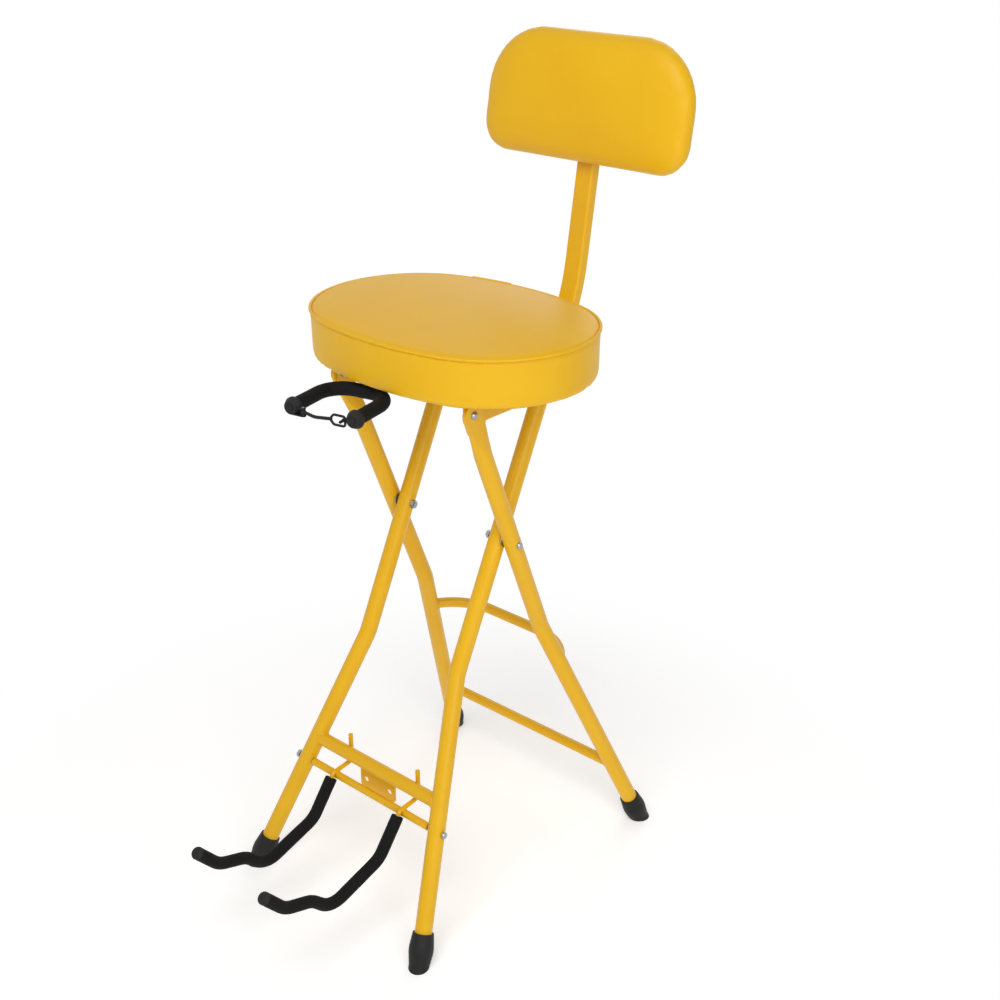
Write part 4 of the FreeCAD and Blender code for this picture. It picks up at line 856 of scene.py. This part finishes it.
# %% Cradle sleeves
ARM_SPREAD = 61.0
ARM_CORNERS = [(-10.13, 0.60), (-45, -45), (-128, -68.5), (-157, -40), (-198, -25.5), (-226, 7.5)]
ARM_BENDS = [0, 30, 34, 40, 40, 0]
ARM_SLEEVE_RADIUS, ARM_SEED = 7.9 * MM, 3.1
for side, name in ((1, "right"), (-1, "left")):
    corners = [AXLE + Vector((side * ARM_SPREAD, y, z)) * MM for y, z in ARM_CORNERS]
    arm_path = bend_path(corners, [r * MM for r in ARM_BENDS], SLEEVE_STEP)
    arm_sleeve = sleeve("cradle_sleeve_" + name, arm_path, ARM_SLEEVE_RADIUS, side * ARM_SEED)
    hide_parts("cradle_foam_" + name)
    settle(arm_sleeve, "cradle")
print("cradle sleeves of", len(arm_path), "steps")

# %% [markdown]
# The yoke is a fork that lies nearly level, turned a little to one side on its stem. Its slide direction in
# the record gives that turn, so it needs no number of its own here.

# %% Yoke sleeve
YOKE_FROM_HINGE = Vector((-20.0, -79.5, 5.5)) * MM
slide = Vector(joints["yoke_slide"]["axis"])
YOKE_TURN = math.atan2(-slide.x, slide.y)
yoke_place = Matrix.Translation(HINGE + YOKE_FROM_HINGE) @ Matrix.Rotation(YOKE_TURN, 4, "Z")
FORK_RADIUS, FORK_ARM, FORK_BEND = 42.5 * MM, 30 * MM, 31 * MM
YOKE_SLEEVE_RADIUS, YOKE_SEED = 8.4 * MM, 7.7
fork = [(-FORK_RADIUS, -FORK_ARM, 0), (-FORK_RADIUS, FORK_RADIUS, 0), (FORK_RADIUS, FORK_RADIUS, 0),
        (FORK_RADIUS, -FORK_ARM, 0)]
yoke_path = [yoke_place @ p for p in bend_path(fork, [0, FORK_BEND, FORK_BEND, 0], SLEEVE_STEP)]
yoke_sleeve = sleeve("yoke_sleeve", yoke_path, YOKE_SLEEVE_RADIUS, YOKE_SEED)
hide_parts("yoke_foam")
settle(yoke_sleeve, "yoke")
print("yoke sleeve, turned", round(math.degrees(YOKE_TURN), 1), "degrees")

# %% [markdown]
# ## Rubber strap
# The strap is one moulding: an eye that turns on a pin, a band that sags a little, and a long loop. Joining
# three meshes face by face would be slow work. They are made as overlapping bars, and a fine remesh melts
# them together with soft inner corners.

# %% Eye of the strap
STRAP_Y = -37.7
EYE = Vector((-27.3, STRAP_Y, -3.52)) * MM
EYE_RADIUS, EYE_WALL, EYE_HALF = 2.4 * MM, 0.84 * MM, 3.1 * MM
eye_path = [EYE + Vector((math.cos(a), math.sin(a), 0)) * EYE_RADIUS for a in full_turn(32)]
eye_ring = bar_part(eye_path, EYE_WALL, 16, closed=True, wide=EYE_HALF / EYE_WALL, up=(0, 0, 1))
print("eye of", len(eye_path), "steps")

# %% Band of the strap
LOOP_LEFT, LOOP_RIGHT, LOOP_Z = 9.5, 31.5, -4.4
BAND_FROM, BAND_SAG = Vector((2.6, 0, -0.3)) * MM, Vector((15.4, 0, -3.2)) * MM
BAND_INTO_LOOP, BAND_BEND, BAND_STEP = 2.0, 22 * MM, 1.2 * MM
BAND_RADIUS, BAND_WIDE = 1.6 * MM, 1.36
band_corners = [EYE + BAND_FROM, EYE + BAND_SAG, Vector((LOOP_LEFT + BAND_INTO_LOOP, STRAP_Y, LOOP_Z)) * MM]
band_path = bend_path(band_corners, [0, BAND_BEND, 0], BAND_STEP)
band = bar_part(band_path, BAND_RADIUS, 20, wide=BAND_WIDE, up=(0, 0, 1))
print("band of", len(band_path), "steps")

# %% Loop of the strap
LOOP_HALF, LOOP_WALL, STRAP_THICK = 7.5, 3.06, 3.4
LOOP_START, NOSE_LENGTH, NOSE_HALF = 20, 3.6, 2.2
LOOP_BENDS = (0, 3.2, 3.2, 2.5, 2, 2, 2.5, 0)
LOOP_BAR, LOOP_STEP = 1.5, 0.8 * MM
left, right, half = LOOP_LEFT + LOOP_WALL / 2, LOOP_RIGHT - LOOP_WALL / 2, LOOP_HALF - LOOP_WALL / 2
loop_outline = [(LOOP_START, -half), (right, -half), (right, half), (left + NOSE_LENGTH, half),
                (left, NOSE_HALF), (left, -NOSE_HALF), (left + NOSE_LENGTH, -half), (LOOP_START, -half)]
loop_corners = [Vector((x, STRAP_Y, LOOP_Z + z)) * MM for x, z in loop_outline]
loop_path = bend_path(loop_corners, [r * MM for r in LOOP_BENDS], LOOP_STEP)[:-1]
loop = bar_part(loop_path, LOOP_BAR * MM, 20, closed=True, wide=STRAP_THICK / (2 * LOOP_BAR), up=(0, 1, 0))
print("loop of", len(loop_path), "steps")

# %% Melt the strap together
STRAP_VOXEL, MELT_ROUNDS = 0.5 * MM, 6
strap_parts = [([yoke_place @ p for p in points], faces) for points, faces in (eye_ring, band, loop)]
yoke_strap = gathered("rubber_strap", strap_parts, foot_rubber)
even_quads(yoke_strap, STRAP_VOXEL)
relaxed(yoke_strap, MELT_ROUNDS)
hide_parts("yoke_strap")
settle(yoke_strap, "strap")
print("strap of", len(yoke_strap.data.polygons), "faces")

# %% [markdown]
# ## Welds
# Every bar meets a leg in a weld bead, a rippled ring under the powder coat. The ring isn't flat: it lies
# where the bar's round surface enters the leg's. A boolean could find it, but a formula is cleaner, so each
# of its points is found along a line of the bar's surface.

# %% Legs and where bars enter them
SPLAY = math.radians(11.6)
LEG_RADIUS = 11.0 * MM
REAR_LEAN = math.radians(21.65)
LEG_RUNS = {"front": (-1, math.radians(25.6), 79.0, 178.0), "rear": (1, REAR_LEAN, 103.0, 151.0)}


def leg_line(frame_name, side, drop):
    """A point on the axis of a leg's lower run, and the way the leg runs down from there."""
    back, lean, spread, kink = LEG_RUNS[frame_name]
    down = Vector((side * math.tan(SPLAY), back * math.sin(lean), -math.cos(lean)))
    start = PIVOT + Vector((side * spread, 0, 0)) * MM + Vector((0, down.y, down.z)) * drop * MM
    return start + Vector((down.x * (drop - kink) * MM, 0, 0)), down.normalized()


def entry_ring(start, way, radius, leg_point, leg_way, count=56):
    """Where the surface of a round bar enters the surface of a leg."""
    side = way.orthogonal().normalized()
    other = way.cross(side)
    slant = way.dot(leg_way)
    ring = []
    for angle in full_turn(count):
        point = start + (side * math.cos(angle) + other * math.sin(angle)) * radius
        gap = point - leg_point
        a = 1 - slant ** 2
        b = gap.dot(way) - gap.dot(leg_way) * slant
        c = gap.dot(gap) - gap.dot(leg_way) ** 2 - LEG_RADIUS ** 2
        ring.append(point + way * ((-b - math.sqrt(max(0.0, b * b - a * c))) / a))
    return ring


# %% Weld beads
BEAD_RADIUS, BEAD_RIPPLE, POINTS_PER_RIPPLE = 1.35, 0.2, 4


def bead(ring, closed=True):
    """A rippled weld bead along a line."""
    ripples = len(ring) / POINTS_PER_RIPPLE

    def size(share):
        return (BEAD_RADIUS + BEAD_RIPPLE * math.sin(2 * math.pi * ripples * share)) * MM
    return bar_part(ring, size, 10, closed)


# %% Weld beads of the two leg frames
BARS = [("front", 336.0, 9.0, "front_frame"), ("rear", 409.5, 7.0, "rear_frame")]
BRACE_DROP = 198.4 / math.cos(REAR_LEAN)
BRACE_SLANT = math.radians(33.0)
BRACE_RADIUS, BRACE_LEAD = 7.0 * MM, 32 * MM
PLATE_WELD_FROM, PLATE_WELD_TO, PLATE_WELD_DROP = 12, 29, 1.2 * MM
weld_parts = {"front_frame": [], "rear_frame": []}
for frame_name, drop, radius, body in BARS:
    for side in (1, -1):
        point, way = leg_line(frame_name, side, drop)
        start = Vector((0, point.y, point.z))
        weld_parts[body].append(bead(entry_ring(start, Vector((side, 0, 0)), radius * MM, point, way)))
for side in (1, -1):
    point, way = leg_line("rear", side, BRACE_DROP)
    into_leg = Vector((side * math.sin(BRACE_SLANT), -math.cos(BRACE_SLANT), 0))
    brace_ring = entry_ring(point - into_leg * BRACE_LEAD, into_leg, BRACE_RADIUS, point, way)
    weld_parts["rear_frame"].append(bead(brace_ring))
plate_low, plate_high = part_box("axle_plate")
for side in (1, -1):
    for depth in (plate_low.y, plate_high.y):
        seam = [Vector((side * x * MM, depth, plate_high.z - PLATE_WELD_DROP))
                for x in np.linspace(PLATE_WELD_FROM, PLATE_WELD_TO, 18)]
        weld_parts["front_frame"].append(bead(seam, closed=False))
for body, parts in weld_parts.items():
    settle(gathered(body + "_welds", parts, powder_coat), body)
print("welds:", {body: len(parts) for body, parts in weld_parts.items()})

# %% Weld beads of the cradle
TUBE_RADIUS, WIRE_EDGE = 5.0, 2.6
ARM_WELD_ANGLES = np.radians(np.linspace(60, 130, 12))
arm_welds = []
for side in (1, -1):
    for edge in (-WIRE_EDGE, WIRE_EDGE):
        x = side * ARM_SPREAD + edge
        seam = [AXLE + Vector((x, TUBE_RADIUS * math.cos(a), TUBE_RADIUS * math.sin(a))) * MM
                for a in ARM_WELD_ANGLES]
        arm_welds.append(bead(seam, closed=False))
settle(gathered("cradle_welds", arm_welds, powder_coat), "cradle")
print("cradle welds:", len(arm_welds))

# %% [markdown]
# ## Brace
# The brace is one bent tube. Its ends slant inwards from the legs, and the long run between the two bends
# lies behind them. A smooth curve would sag in the middle of that run, so it is a path of straight runs and
# arcs.

# %% Bowed brace
BRACE_BOW, BRACE_BEND, BRACE_STEP = 44.5, 80 * MM, 3 * MM
leg_ends = [leg_line("rear", side, BRACE_DROP)[0] for side in (-1, 1)]
inward = Vector((BRACE_BOW * math.tan(BRACE_SLANT), BRACE_BOW, 0)) * MM
brace_corners = [leg_ends[0], leg_ends[0] + inward, leg_ends[1] + inward * Vector((-1, 1, 1)), leg_ends[1]]
brace_path = bend_path(brace_corners, [0, BRACE_BEND, BRACE_BEND, 0], BRACE_STEP)
bowed_brace = bar("bowed_brace", brace_path, BRACE_RADIUS, 32, powder_coat)
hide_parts("rear_brace")
settle(bowed_brace, "rear_frame")
print("brace of", round(sum((b - a).length for a, b in zip(brace_path, brace_path[1:])), 3), "m")
